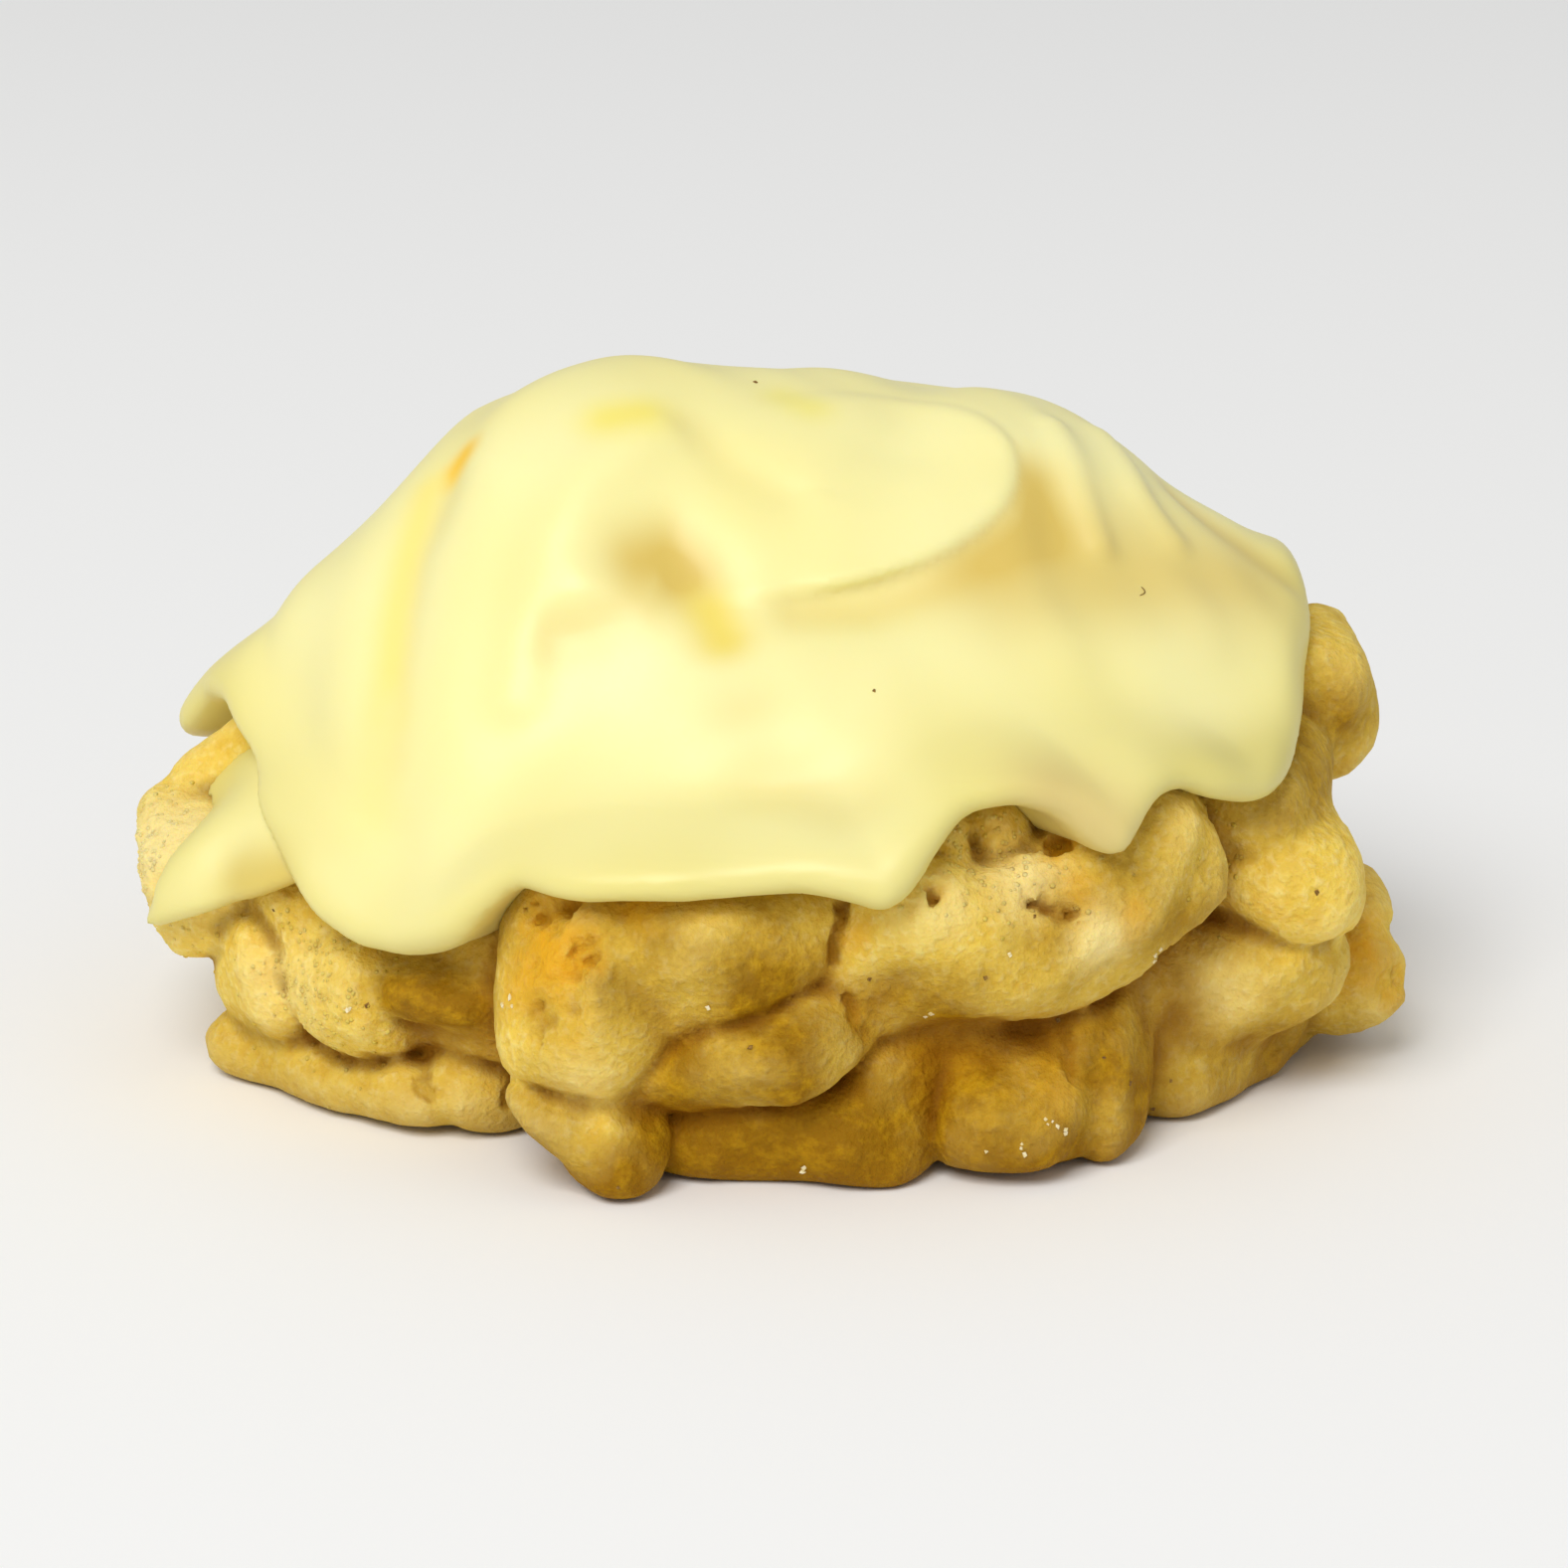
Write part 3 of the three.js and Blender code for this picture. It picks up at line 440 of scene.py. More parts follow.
# Places where the oven browned the dough, and two below the icing's edge that are painted shadow of its
# overhang in the same orange: name, azimuth, height, reach in millimetres, how far.
BROWNED_AND_SHADED = [
    ("nose_face", 244.5, 14.0, 2.8, 0.9),
    ("nose_edge", 240.5, 12.2, 2.2, 0.7),
    # These two are painted shadow under the icing's overhanging edge, not browning.
    ("shadow_under_coat_left", 254.0, 17.2, 2.2, 0.7),
    ("shadow_under_coat_middle", 262.0, 17.6, 2.0, 0.5),
    ("pits", 302.0, 20.0, 2.2, 0.4),
    ("neck_groove", 281.0, 15.0, 1.2, 0.5),
    ("log_end", 313.2, 15.2, 1.7, 0.4),
    ("log_top", 308.0, 16.9, 1.8, 0.35),
    ("lobe_right_patch", 349.6, 8.0, 3.0, 0.6),
    ("foot_right_top", 304.0, 5.6, 2.6, 0.35),
    ("right_mid_patch", 333.4, 13.1, 1.2, 0.4),
]
# Places where the skin rubbed off and the pale crumb shows, in the same way.
PALED = [
    ("crust", 190.4, 15.1, 5.0, 1.0),
    ("small_ball", 203.0, 8.0, 3.0, 0.5),
    ("big_ball", 208.0, 8.6, 3.5, 0.4),
    ("log_lip", 302.5, 17.8, 2.8, 0.85),
    ("log_lip_left", 292.0, 17.0, 2.0, 0.5),
    ("log_end", 309.4, 14.2, 2.3, 1.0),
    ("chin", 249.0, 7.0, 2.6, 0.4),
    ("right_middle", 331.0, 14.6, 3.0, 0.4),
    ("right_lower", 332.2, 7.7, 3.0, 0.5),
]

# Crumbly places, where the skin of the dough broke as it rose, in the same way.
CRUMBLY = [
    ("crust_over_ridge", 300, 18.5, 5.0, 1.0),
    ("shoulder_edge", 332, 16.0, 4.0, 1.0),
    ("pits", 297, 21.0, 4.0, 1.0),
    ("left_lobe", 190, 13.0, 6.0, 1.0),
    ("left_balls", 210, 8.5, 5.0, 1.0),
    ("back_low", 75, 10.0, 8.0, 1.0),
    ("back_high", 130, 17.0, 8.0, 1.0),
]


def on_skin(rows):
    """The middle, reach and share of rows that give an azimuth and a height on the dough's skin."""
    return [(surface_point(dough, azimuth, height), reach, most) for _, azimuth, height, reach, most in rows]


def spread(points, places):
    """How far some points are changed by the strongest of the places: middle, reach and share."""
    shares = np.zeros(len(points[0]), np.float32)
    for middle, reach, most in places:
        shares = np.maximum(shares, most * nearness(points, middle, reach))
    return shares


# The crumb, coarse to fine: its size, its relief where the skin is whole, what is added where the
# skin is broken, and the seed.
CRUMB = [(1.9, 0.16, 0.34, 11), (1.0, 0.14, 0.26, 12), (0.7, 0.05, 0.20, 13)]
CRUMB_WITHIN = 2.5  # the relief is added this many grid steps from the skin
near = np.abs(dough) < CRUMB_WITHIN * STEP
points = [c[near] for c in (X, Y, Z)]
crumbly = on_skin(CRUMBLY)
broken = spread(points, crumbly)
dough[near] -= sum(
    (whole + more * broken) * (0.5 - pebbles(*points, size, seed)) for size, whole, more, seed in CRUMB
)

dough = smooth_max(dough, -Z, BASE_ROUND)


def in_scene(name, data):
    """A new object in the scene, at the origin, with this mesh, light or camera."""
    made = bpy.data.objects.new(name, data)
    bpy.context.scene.collection.objects.link(made)
    return made


def meshed(name, field):
    """The zero surface of a field as a piece, faces outwards, and its corners in millimetres."""
    grid = openvdb.FloatGrid(FAR)
    grid.copyFromArray(np.ascontiguousarray(field, np.float32))
    corners, quads = grid.convertToQuads(isovalue=0.0)
    corners = corners * STEP + np.array(LOW, np.float32)
    mesh = bpy.data.meshes.new(name)
    mesh.from_pydata((corners / 1000).tolist(), [], quads.tolist())
    mesh.shade_smooth()
    return in_scene(name, mesh), corners.T


def set_attribute(piece, name, values):
    """Gives every corner of a piece a number, for its material to read."""
    attribute = piece.data.attributes.new(name, "FLOAT", "POINT")
    attribute.data.foreach_set("value", np.ascontiguousarray(values, np.float32))


def blurred(field, reach):
    """The field averaged over a cube of that half width, twice."""
    width = max(1, round(reach / STEP))
    for axis in (0, 1, 2, 0, 1, 2):
        before = np.repeat(np.take(field, [0], axis), width + 1, axis)
        after = np.repeat(np.take(field, [-1], axis), width, axis)
        total = np.cumsum(np.concatenate([before, field, after], axis), axis, dtype=np.float64)
        ahead = np.take(total, range(2 * width + 1, total.shape[axis]), axis)
        behind = np.take(total, range(0, total.shape[axis] - 2 * width - 1), axis)
        field = ((ahead - behind) / (2 * width + 1)).astype(np.float32)
    return field


ROUNDING_REACH, RECESS_REACH = 1.2, 3.0  # a blurred field is above 0 on a crest and below 0 in a crease
BROWNING_BLEND = 0.5
HOLLOW_BROWNING, CRACK_BROWNING = 1.15, 1.2  # the browned rim, in the hollow's or the crack's own size
BLOTCH_SIZE, BLOTCH_LEAST, BLOTCH_SPREAD = 1.7, 0.55, 0.9
PALED_FROM_GOLDEN = 0.8

cut_off = np.clip(dough, -FAR, FAR)
dough_piece, dough_corners = meshed("dough", cut_off)
bent_corners = bend(*dough_corners)
weights = golden = 0.0
for one in LUMPS:
    away = np.maximum(piece_distance(*bent_corners, one), 0)
    weight = np.exp(-away / BROWNING_BLEND) + 1e-6
    weights = weights + weight
    golden = golden + weight * one["golden"]
ragged = np.array(jagged(*dough_corners))
browned_hollows = [
    (middle, HOLLOW_BROWNING * radius, toast)
    for (_, _, _, radius, _, _, toast), middle in zip(HOLLOWS, hollow_middles)
]
toasting_and_shadow = spread(ragged, browned_hollows + on_skin(BROWNED_AND_SHADED))
blotches = BLOTCH_LEAST + BLOTCH_SPREAD * pebbles(*dough_corners, BLOTCH_SIZE, 17)
paled = spread(dough_corners, on_skin(PALED))
cracked = np.zeros(len(paled), np.float32)
for (_, half_width, _, _), line in zip(CRACKS, crack_lines):
    away = line_distance(*dough_corners, line)[0]
    cracked = np.maximum(cracked, np.exp(-away / (CRACK_BROWNING * half_width) ** 2))
for name, reach in (("rounding", ROUNDING_REACH), ("recess", RECESS_REACH)):
    set_attribute(dough_piece, name, looked_up(blurred(cut_off, reach), STEP, *dough_corners))
set_attribute(dough_piece, "toasting_and_shadow", toasting_and_shadow * blotches)
set_attribute(dough_piece, "paled", paled)
set_attribute(dough_piece, "golden", golden / weights - PALED_FROM_GOLDEN * paled)
set_attribute(dough_piece, "cracked", cracked)


def srgb(code):
    """An sRGB hex colour as linear RGBA."""
    shares = [int(code[i : i + 2], 16) / 255 for i in (1, 3, 5)]
    return (*(s / 12.92 if s <= 0.04045 else ((s + 0.055) / 1.055) ** 2.4 for s in shares), 1.0)


def add_node(tree, kind, inputs, **settings):
    """Adds a node. Settings are its properties; inputs are values, or other nodes' outputs, by socket."""
    made = tree.nodes.new(kind)
    for name, value in settings.items():
        setattr(made, name, value)
    for socket, value in inputs.items():
        if isinstance(value, bpy.types.NodeSocket):
            tree.links.new(value, made.inputs[socket])
        else:
            made.inputs[socket].default_value = value
    return made


def new_finish(name, settings):
    """A new material, its node tree, its shader with these settings, and the place on the piece."""
    made = bpy.data.materials.new(name)
    made.use_nodes = True
    shader = made.node_tree.nodes["Principled BSDF"]
    for socket, value in settings.items():
        shader.inputs[socket].default_value = value
    place = add_node(made.node_tree, "ShaderNodeTexCoord", {}).outputs["Object"]
    return made, made.node_tree, shader, place


A, B, RESULT = 6, 7, 2  # a Mix node's colour sockets

# Baked sugar-cookie dough: a matt, slightly translucent crumb of 0.5 and 1.5 mm grain, pale on the
# crests, partly rubbed crumb and partly a painted highlight, golden to brown in patches of 3 and 6 mm
# where the oven caught it, and brown in the creases and darker towards the bottom, partly browned and
# partly painted shade.
baked_dough, tree, shader, place = new_finish("baked_sugar_dough", {
    "Roughness": 0.7, "IOR": 1.45, "Specular IOR Level": 0.12,
    "Subsurface Weight": 0.3, "Subsurface Radius": (1.2, 0.8, 0.2), "Subsurface Scale": 0.001,
})
patches = add_node(tree, "ShaderNodeTexNoise", {"Vector": place, "Scale": 1 / 0.006, "Detail": 2.0})
freckles = add_node(tree, "ShaderNodeTexNoise", {"Vector": place, "Scale": 1 / 0.0028, "Detail": 3.0})
grain = add_node(tree, "ShaderNodeTexNoise", {"Vector": place, "Scale": 1 / 0.0005, "Detail": 2.0})
crumb = add_node(tree, "ShaderNodeTexNoise", {
    "Vector": place, "Scale": 1 / 0.0015, "Detail": 5.0, "Roughness": 0.65,
})
paled, browned, rounding, toasting_and_shadow, cracked, recess = (
    add_node(tree, "ShaderNodeAttribute", {}, attribute_name=name).outputs["Fac"]
    for name in ("paled", "golden", "rounding", "toasting_and_shadow", "cracked", "recess")
)
height = add_node(tree, "ShaderNodeSeparateXYZ", {"Vector": place}).outputs["Z"]


def layered(below, above, by, low, high, most):
    """Lays a colour over another where a value goes from `low` to `high`, at most by `most`."""
    share = add_node(tree, "ShaderNodeMapRange", {
        "Value": by, "From Min": low, "From Max": high, "To Max": most,
    })
    above = srgb(above) if isinstance(above, str) else above
    mix = add_node(tree, "ShaderNodeMix", {0: share.outputs[0], A: below, B: above}, data_type="RGBA")
    return mix.outputs[RESULT]


PATCHINESS = 2.2  # how much the patches add to the browning of the lumps
uneven = add_node(tree, "ShaderNodeMath", {
    0: patches.outputs["Fac"], 1: PATCHINESS, 2: browned,
}, operation="MULTIPLY_ADD")
browned_crumb = layered(srgb("#966a00"), "#cf9f0a", crumb.outputs["Fac"], 0.46, 0.64, 0.6)
browned_crumb = layered(browned_crumb, "#7c5400", freckles.outputs["Fac"], 0.52, 0.72, 0.5)
colour = layered(srgb("#ecc954"), "#fdf0ac", grain.outputs["Fac"], 0.48, 0.72, 0.35)
colour = layered(colour, "#d9ac34", crumb.outputs["Fac"], 0.5, 0.36, 0.5)
colour = layered(colour, "#f8e07a", crumb.outputs["Fac"], 0.53, 0.68, 0.5)
# Paler on the crests: partly rubbed crumb, partly a painted highlight.
colour = layered(colour, "#fce896", rounding, 0.15, 0.6, 0.5)
colour = layered(colour, "#fbe6a0", paled, 0.1, 0.9, 0.7)
colour = layered(colour, browned_crumb, uneven.outputs[0], 1.35, 2.3, 0.97)
# Brown in the creases and recesses: partly browned dough, partly painted shade where little light reaches.
colour = layered(colour, "#a46600", recess, 0.2, -1.3, 0.85)
colour = layered(colour, "#7e4c00", rounding, -0.05, -0.45, 0.9)
# Orange where the oven browned the dough, and under the icing's edge as painted shadow.
colour = layered(colour, "#e6a818", toasting_and_shadow, 0.1, 0.9, 0.85)
colour = layered(colour, "#a06c04", cracked, 0.2, 0.9, 0.85)
# Darker brown towards the bottom, below 6 mm: partly browned where it lay on the sheet, partly painted
# shade.
colour = layered(colour, "#8c5e00", height, 0.006, 0.0, 0.5)
tree.links.new(colour, shader.inputs["Base Color"])
normal = None
for relief, strength, distance in ((crumb, 0.4, 0.0008), (grain, 0.7, 0.0003)):
    bump = {"Height": relief.outputs["Fac"], "Strength": strength, "Distance": distance}
    if normal is not None:
        bump["Normal"] = normal
    normal = add_node(tree, "ShaderNodeBump", bump).outputs["Normal"]
tree.links.new(normal, shader.inputs["Normal"])
dough_piece.data.materials.append(baked_dough)

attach(dough_piece, "root")
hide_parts("cookie")

# ---- icing ----
# A coat of lemon icing, poured on warm and thick over the top: it bridges the dips between the
# lumps, hangs down the sides in drips, and has set with soft folds where it ran over itself.
COAT = 1.9  # thickness of the coat over the draped surface
COAT_LEAST = 1.2  # and where a lump stands proud
PROUD_ROUND = 3.0
COAT_BEAD, BEAD_FROM_EDGE, BEAD_WIDTH = 0.5, 2.2, 1.8  # the edge set a little thicker
EDGE_ROUND = 2.6
UNDERCUT, UNDERCUT_FROM = 0.35, 1.4  # the edge draws in under itself, this deep in the coat
END_OF_COAT = 32.5  # it stops here on the right, short of the last lobes
END_HEIGHT, END_SLOPE, END_ROUND = 26, 0.3, 2.0  # at this height, and farther out above it
WALL_RADIUS = 28.0  # radius at which the side is unrolled to measure along the edge

# The edge of the icing: its height at azimuths round the side, and the drips that hang below it.
EDGE_LEVELS = [
    (0, 22.0), (35, 20.5), (60, 19.0), (90, 20.5), (120, 18.5), (145, 20.0), (158, 19.0), (164, 17.6),
    (170, 16.8), (173, 17.8), (176.5, 20.8), (182, 21.4), (186, 20.0), (190, 18.8), (196, 17.4),
    (203, 16.0), (208, 14.6), (212, 13.0), (218, 11.7), (224, 11.6), (229, 12.3), (233, 13.5), (236, 15.5),
    (239, 17.0), (249, 17.1), (262, 17.6), (274, 17.9), (279.5, 17.4), (283, 16.8), (286.5, 17.7),
    (290, 19.6), (295, 21.3), (301, 21.6), (305.2, 21.0), (307.6, 19.4), (309.2, 18.6), (312.2, 18.7),
    (313.8, 19.9), (317, 21.2), (321.5, 21.6), (324, 20.7), (330, 19.5), (336, 20.2), (341, 21.1),
    (347, 21.6), (354, 21.8), (360, 22.0),
]
DRIPS = [  # name, azimuth, half width in degrees, drop in millimetres, squareness
    ("back_a", 48, 9, 3.6, 2.0),
    ("back_b", 76, 7, 5.2, 2.0),
    ("back_c", 104, 10, 2.6, 2.2),
    ("back_d", 133, 8, 5.0, 2.0),
]
EDGE_STEP = 0.5  # degrees
MM_PER_DEGREE = math.radians(WALL_RADIUS)
EDGE_SOFTENINGS = 10
EDGE_OVERLAP = 80  # steps of the edge that are repeated past each end of the unrolled side
MAP_SPACING, MAP_REACH = 0.4, 12.0


def edge_heights():
    """Height of the edge at every half degree, softened a little."""
    turns = np.arange(0, 360, EDGE_STEP)
    heights = np.interp(turns, *np.array(EDGE_LEVELS, float).T)
    for _, middle, half_width, drop, square in DRIPS:
        off = np.abs((turns - middle + 180) % 360 - 180) / half_width
        heights = heights - drop * np.maximum(1 - off**square, 0) ** (1 / square)
    for _ in range(EDGE_SOFTENINGS):
        heights = (np.roll(heights, 1) + 2 * heights + np.roll(heights, -1)) / 4
    return heights


def edge_map():
    """Distance from the edge on the unrolled side, positive below it, as a grid of azimuth and height."""
    heights = edge_heights()
    count = len(heights)
    around = np.arange(-EDGE_OVERLAP, count + EDGE_OVERLAP)
    edge_x, edge_z = around * EDGE_STEP * MM_PER_DEGREE, heights[around % count]
    columns = np.arange(0, 360 * MM_PER_DEGREE + MAP_SPACING, MAP_SPACING)
    rows = np.arange(LOW[2], HIGH[2] + MAP_SPACING, MAP_SPACING)
    distances = np.zeros((len(columns), len(rows)), np.float32)
    for i, x in enumerate(columns):
        close = np.abs(edge_x - x) < MAP_REACH
        away = np.hypot(edge_x[close][None] - x, edge_z[close][None] - rows[:, None]).min(1)
        distances[i] = np.where(rows < np.interp(x, edge_x, edge_z), away, -away)
    return distances


def below_edge(x, y, z):
    """How far some points lie beyond the edge of the coat; negative where the coat is."""
    distances = edge_map()
    across = (np.degrees(np.arctan2(y, x)) % 360) * MM_PER_DEGREE / MAP_SPACING
    up = (z - LOW[2]) / MAP_SPACING
    i = np.clip(np.floor(across).astype(np.int32), 0, distances.shape[0] - 2)
    k = np.clip(np.floor(up).astype(np.int32), 0, distances.shape[1] - 2)
    u, w = np.clip(across - i, 0, 1), np.clip(up - k, 0, 1)
    side = (
        distances[i, k] * (1 - u) * (1 - w)
        + distances[i + 1, k] * u * (1 - w)
        + distances[i, k + 1] * (1 - u) * w
        + distances[i + 1, k + 1] * u * w
    )
    return smooth_max(side.astype(np.float32), x - END_OF_COAT - END_SLOPE * (z - END_HEIGHT), END_ROUND)


# Folds in the icing: name, how far it is raised or sunk, how much tan is painted there, partly for the
# dough seen through thin icing and partly as painted shade in the sunk folds, how wide it is to either
# side, and the line of points that it follows.
FOLDS = [
    ("left_groove", -0.5, 0.3, 1.8, [
        (-19.1, -3.8, 35.7), (-20.9, -6.2, 32.1), (-21.6, -10.3, 27.8), (-22.2, -13.7, 22.2),
    ]),
    ("left_crest", 0.7, 0, 3.0, [
        (-15.8, -6.2, 37.4), (-17.4, -9.2, 32.8), (-18.3, -13.7, 26.9), (-18.9, -16.9, 20.8),
        (-19.3, -20.1, 16.4),
    ]),
    ("thumb_ridge", 0.9, 0, 2.0, [
        (-6.2, -5.3, 39.5), (-10.0, -7.9, 37.8), (-12.4, -10.7, 34.4), (-13.3, -13.2, 30.3),
        (-14.3, -15.6, 26.3),
    ]),
    ("thumb_deep", -1.2, 1.2, 2.2, [(-7.4, -11.3, 33.3), (-5.9, -10.6, 33.5), (-5.0, -11.4, 32.4)]),
    ("thumb_tail", -0.7, 0.45, 2.2, [(-5.0, -11.4, 32.4), (-3.8, -12.2, 31.2), (-2.7, -14.0, 29.4)]),
    ("thumb_low", -0.6, 0.45, 1.8, [(-12.1, -14.1, 29.4), (-10.1, -14.3, 29.8), (-7.5, -13.6, 31.2)]),
    ("thumb_mound", 0.6, 0, 1.6, [(-10.4, -12.9, 32.0), (-7.5, -13.2, 31.5)]),
    ("top_valley", -0.8, 0, 2.4, [(8.0, -4.0, 38.6), (9.0, 2.0, 40.0), (9.4, 8.0, 39.6)]),
    ("crease_top", -0.4, 0.25, 1.5, [(-4.8, -4.5, 39.7), (-2.2, -6.6, 37.5), (1.0, -8.0, 36.1)]),
    ("run_foot", -0.6, 0.55, 1.8, [
        (1.6, -12.6, 30.4), (5.6, -12.0, 30.4), (9.8, -10.4, 31.6), (13.0, -8.4, 32.6),
        (15.6, -6.6, 34.0), (15.6, -4.6, 36.3),
    ]),
    ("basin", -0.9, 1.0, 4.8, [
        (14.0, -9.0, 31.8), (16.6, -8.2, 32.0), (22.5, -5.2, 30.9), (28.6, -2.3, 29.8),
    ]),
    ("basin_neck", -0.6, 0.6, 2.0, [(15.5, -4.4, 36.4), (16.7, -6.1, 33.8)]),
    ("ridge_a", 0.8, 0, 1.1, [(16.9, 0.8, 38.2), (18.2, -3.4, 35.5), (19.5, -5.3, 32.7)]),
    ("ridge_b", 0.7, 0, 1.1, [(20.0, 3.8, 36.8), (21.9, -0.7, 34.6), (23.9, -1.9, 31.9)]),
    ("end_valley", -0.6, 0.7, 1.6, [(24.5, 4.6, 33.1), (27.9, 2.9, 31.0), (31.3, 1.1, 29.2)]),
    ("shoulder", 0.7, 0, 4.0, [
        (2.7, -15.6, 28.7), (10.1, -14.3, 28.9), (18.7, -11.5, 28.4), (27.7, -7.7, 27.1),
    ]),
    ("shoulder_dip", -0.8, 0.45, 2.6, [(-1.5, -19.2, 26.2), (0.1, -21.5, 23.7), (4.3, -24.0, 23.3)]),
]
# The lobe of icing that ran over the rest and set with a lip round its lower right side.
OVERRUN = lump("overrun", (2.9, -8.0, 36.4), (12.6, 12.0, 5.3), tilt=9, square=2.2)
OVERRUN_RISE = 0.9
OVERRUN_LIP = 0.3  # the lip starts this far outside the lobe
OVERRUN_FLAT, OVERRUN_FADE = 1, 3  # its rise dies out behind the lip
OVERRUN_LEFT, OVERRUN_LEFT_FADE = -3, 7  # it fades in over this span of x
OVERRUN_TOP, OVERRUN_TOP_FADE = 41.5, 3  # and out over this span of z
# The thin pool on the left lobe, that ran out from under the main coat. Its lower and its upper edge
# are heights at the far left, and rises per millimetre.
POOL_COAT = 1.1
POOL_FROM, POOL_RIGHT, POOL_BACK = -37, -20, 0.5
POOL_EDGE_LEVEL, POOL_EDGE_SLOPE = 9.4, 0.50
POOL_TOP_LEVEL, POOL_TOP_SLOPE = 13.7, 0.90
POOL_ROUND, POOL_JOIN, POOL_SOAK = 1.8, 1.5, 2.0
CRUST = [(-38.0, -1.2, 9.3, 3.8), (-40.5, -5.0, 13.0, 5.3), (-36.5, -4.0, 22.0, 5.3)]  # bare round this


def fold_rise(x, y, z):
    """How far the folds raise the icing at some points, and the tan painted there: thin icing, painted
    shade.
    """
    rise = np.zeros(x.shape, np.float32)
    thin_and_shaded = np.zeros(x.shape, np.float32)
    for _, height, thin, wide, line in FOLDS:
        share = np.exp(-line_distance(x, y, z, line)[0] / wide**2)
        rise += height * share
        thin_and_shaded += thin * share
    inside = -lump_distance(x, y, z, OVERRUN)
    lip = np.clip(inside + OVERRUN_LIP, 0, 1)
    lip = lip * lip * (3 - 2 * lip)
    from_left = np.clip((x - OVERRUN_LEFT) / OVERRUN_LEFT_FADE, 0, 1)
    faded = from_left * np.clip((OVERRUN_TOP - z) / OVERRUN_TOP_FADE, 0, 1)
    behind_lip = np.exp(-np.maximum(inside - OVERRUN_FLAT, 0) / OVERRUN_FADE)
    return rise + OVERRUN_RISE * lip * faded * behind_lip, thin_and_shaded * (1 - lip * faded)


FOLDED_WITHIN = 5  # folds reach this far from the coat's outside
LAP = 0.1  # the icing laps this far into the dough, so that no light shows between them
COAT_JOIN = 0.3  # how softly the pool meets the coat
RIM_FADE, POOL_RIM_FADE = 3.5, 3.0  # how far in from its edge the icing is painted darker, as painted shade where it turns under
RIM_FROM_EDGE, RIM_MOST, ON_POOL = 1.0, 0.9, 0.15

below = below_edge(X, Y, Z)
folded = lain - (COAT + COAT_BEAD * np.exp(-(((below + BEAD_FROM_EDGE) / BEAD_WIDTH) ** 2)))
near = np.abs(folded) < FOLDED_WITHIN
folded[near] -= fold_rise(X[near], Y[near], Z[near])[0]
face = smooth_min(folded, dough - COAT_LEAST, PROUD_ROUND)
undercut = UNDERCUT * np.clip(UNDERCUT_FROM - lain, 0, UNDERCUT_FROM)
coat = smooth_max(face, below + undercut, EDGE_ROUND)

pool_foot = POOL_EDGE_LEVEL + POOL_EDGE_SLOPE * (X - POOL_FROM) - Z
pool_head = Z - POOL_TOP_LEVEL - POOL_TOP_SLOPE * (X - POOL_FROM)
beyond = np.maximum(np.maximum(pool_foot, Y - POOL_BACK), np.maximum(pool_head, X - POOL_RIGHT))
away, crust_radius = line_distance(X, Y, Z, CRUST)
beyond = smooth_max(beyond, crust_radius - np.sqrt(away), POOL_JOIN)
pool = smooth_max(smooth_min(lain, dough, POOL_SOAK) - POOL_COAT, beyond, POOL_ROUND)
icing = np.maximum(smooth_min(coat, pool, COAT_JOIN), -dough - LAP)
icing_piece, icing_corners = meshed("icing_coat", np.clip(icing, -FAR, FAR))
# The icing is painted a darker greenish tan towards the coat's lower edge and the pool's edge: painted shade
# where its surface turns under.
rim = np.where(
    looked_up(pool, STEP, *icing_corners) < ON_POOL,
    np.exp(looked_up(beyond, STEP, *icing_corners) / POOL_RIM_FADE),
    RIM_MOST * np.exp((looked_up(below, STEP, *icing_corners) + RIM_FROM_EDGE) / RIM_FADE),
)
set_attribute(icing_piece, "thin_and_shaded", fold_rise(*icing_corners)[1])
set_attribute(icing_piece, "rim", np.clip(rim, 0, 1))

# Where the colouring of the icing was not stirred in: name, colour, half width, line of points. The
# last three are not colouring but painted shade on the block's face and low on the right, where the
# icing faces down and away, and painted shadow at the pool's foot, where the coat overlaps it.
STAINS = [
    ("orange_spot", "#ffc80a", 1.15, [(-17.8, -2.6, 37.4), (-18.7, -2.8, 36.4)]),
    ("orange_run", "#f9e884", 1.4, [
        (-20.0, -2.1, 35.1), (-21.0, -5.4, 31.9), (-21.6, -8.4, 28.9), (-21.8, -12.6, 24.3),
    ]),
    ("orange_tail", "#f6ea98", 1.8, [(-21.8, -12.6, 24.3), (-22.8, -14.1, 18.9)]),
    ("yellow_top", "#f9e870", 1.8, [(-9.2, -4.6, 39.9), (-7.4, -4.4, 40.2)]),
    ("yellow_back", "#f5ea86", 1.5, [(1.0, -0.6, 40.3), (2.4, -1.6, 40.0)]),
    ("yellow_hollow", "#eed860", 1.6, [(-3.2, -13.0, 30.6), (-2.6, -14.2, 29.2)]),
    # These three are painted shade and shadow, not colouring.
    ("block_face_shade", "#d8c27c", 3.2, [(16.2, -23.2, 22.7), (18.5, -23.7, 21.1)]),
    ("right_low", "#dcd07c", 2.6, [(24.2, -18.6, 22.9), (29.4, -14.0, 22.3)]),
    ("pool_foot", "#d6bc58", 2.2, [(-30.0, -12.0, 13.9), (-28.0, -13.4, 14.4)]),
]
for name, _, wide, line in STAINS:
    set_attribute(icing_piece, name, np.exp(-line_distance(*icing_corners, line)[0] / wide**2))

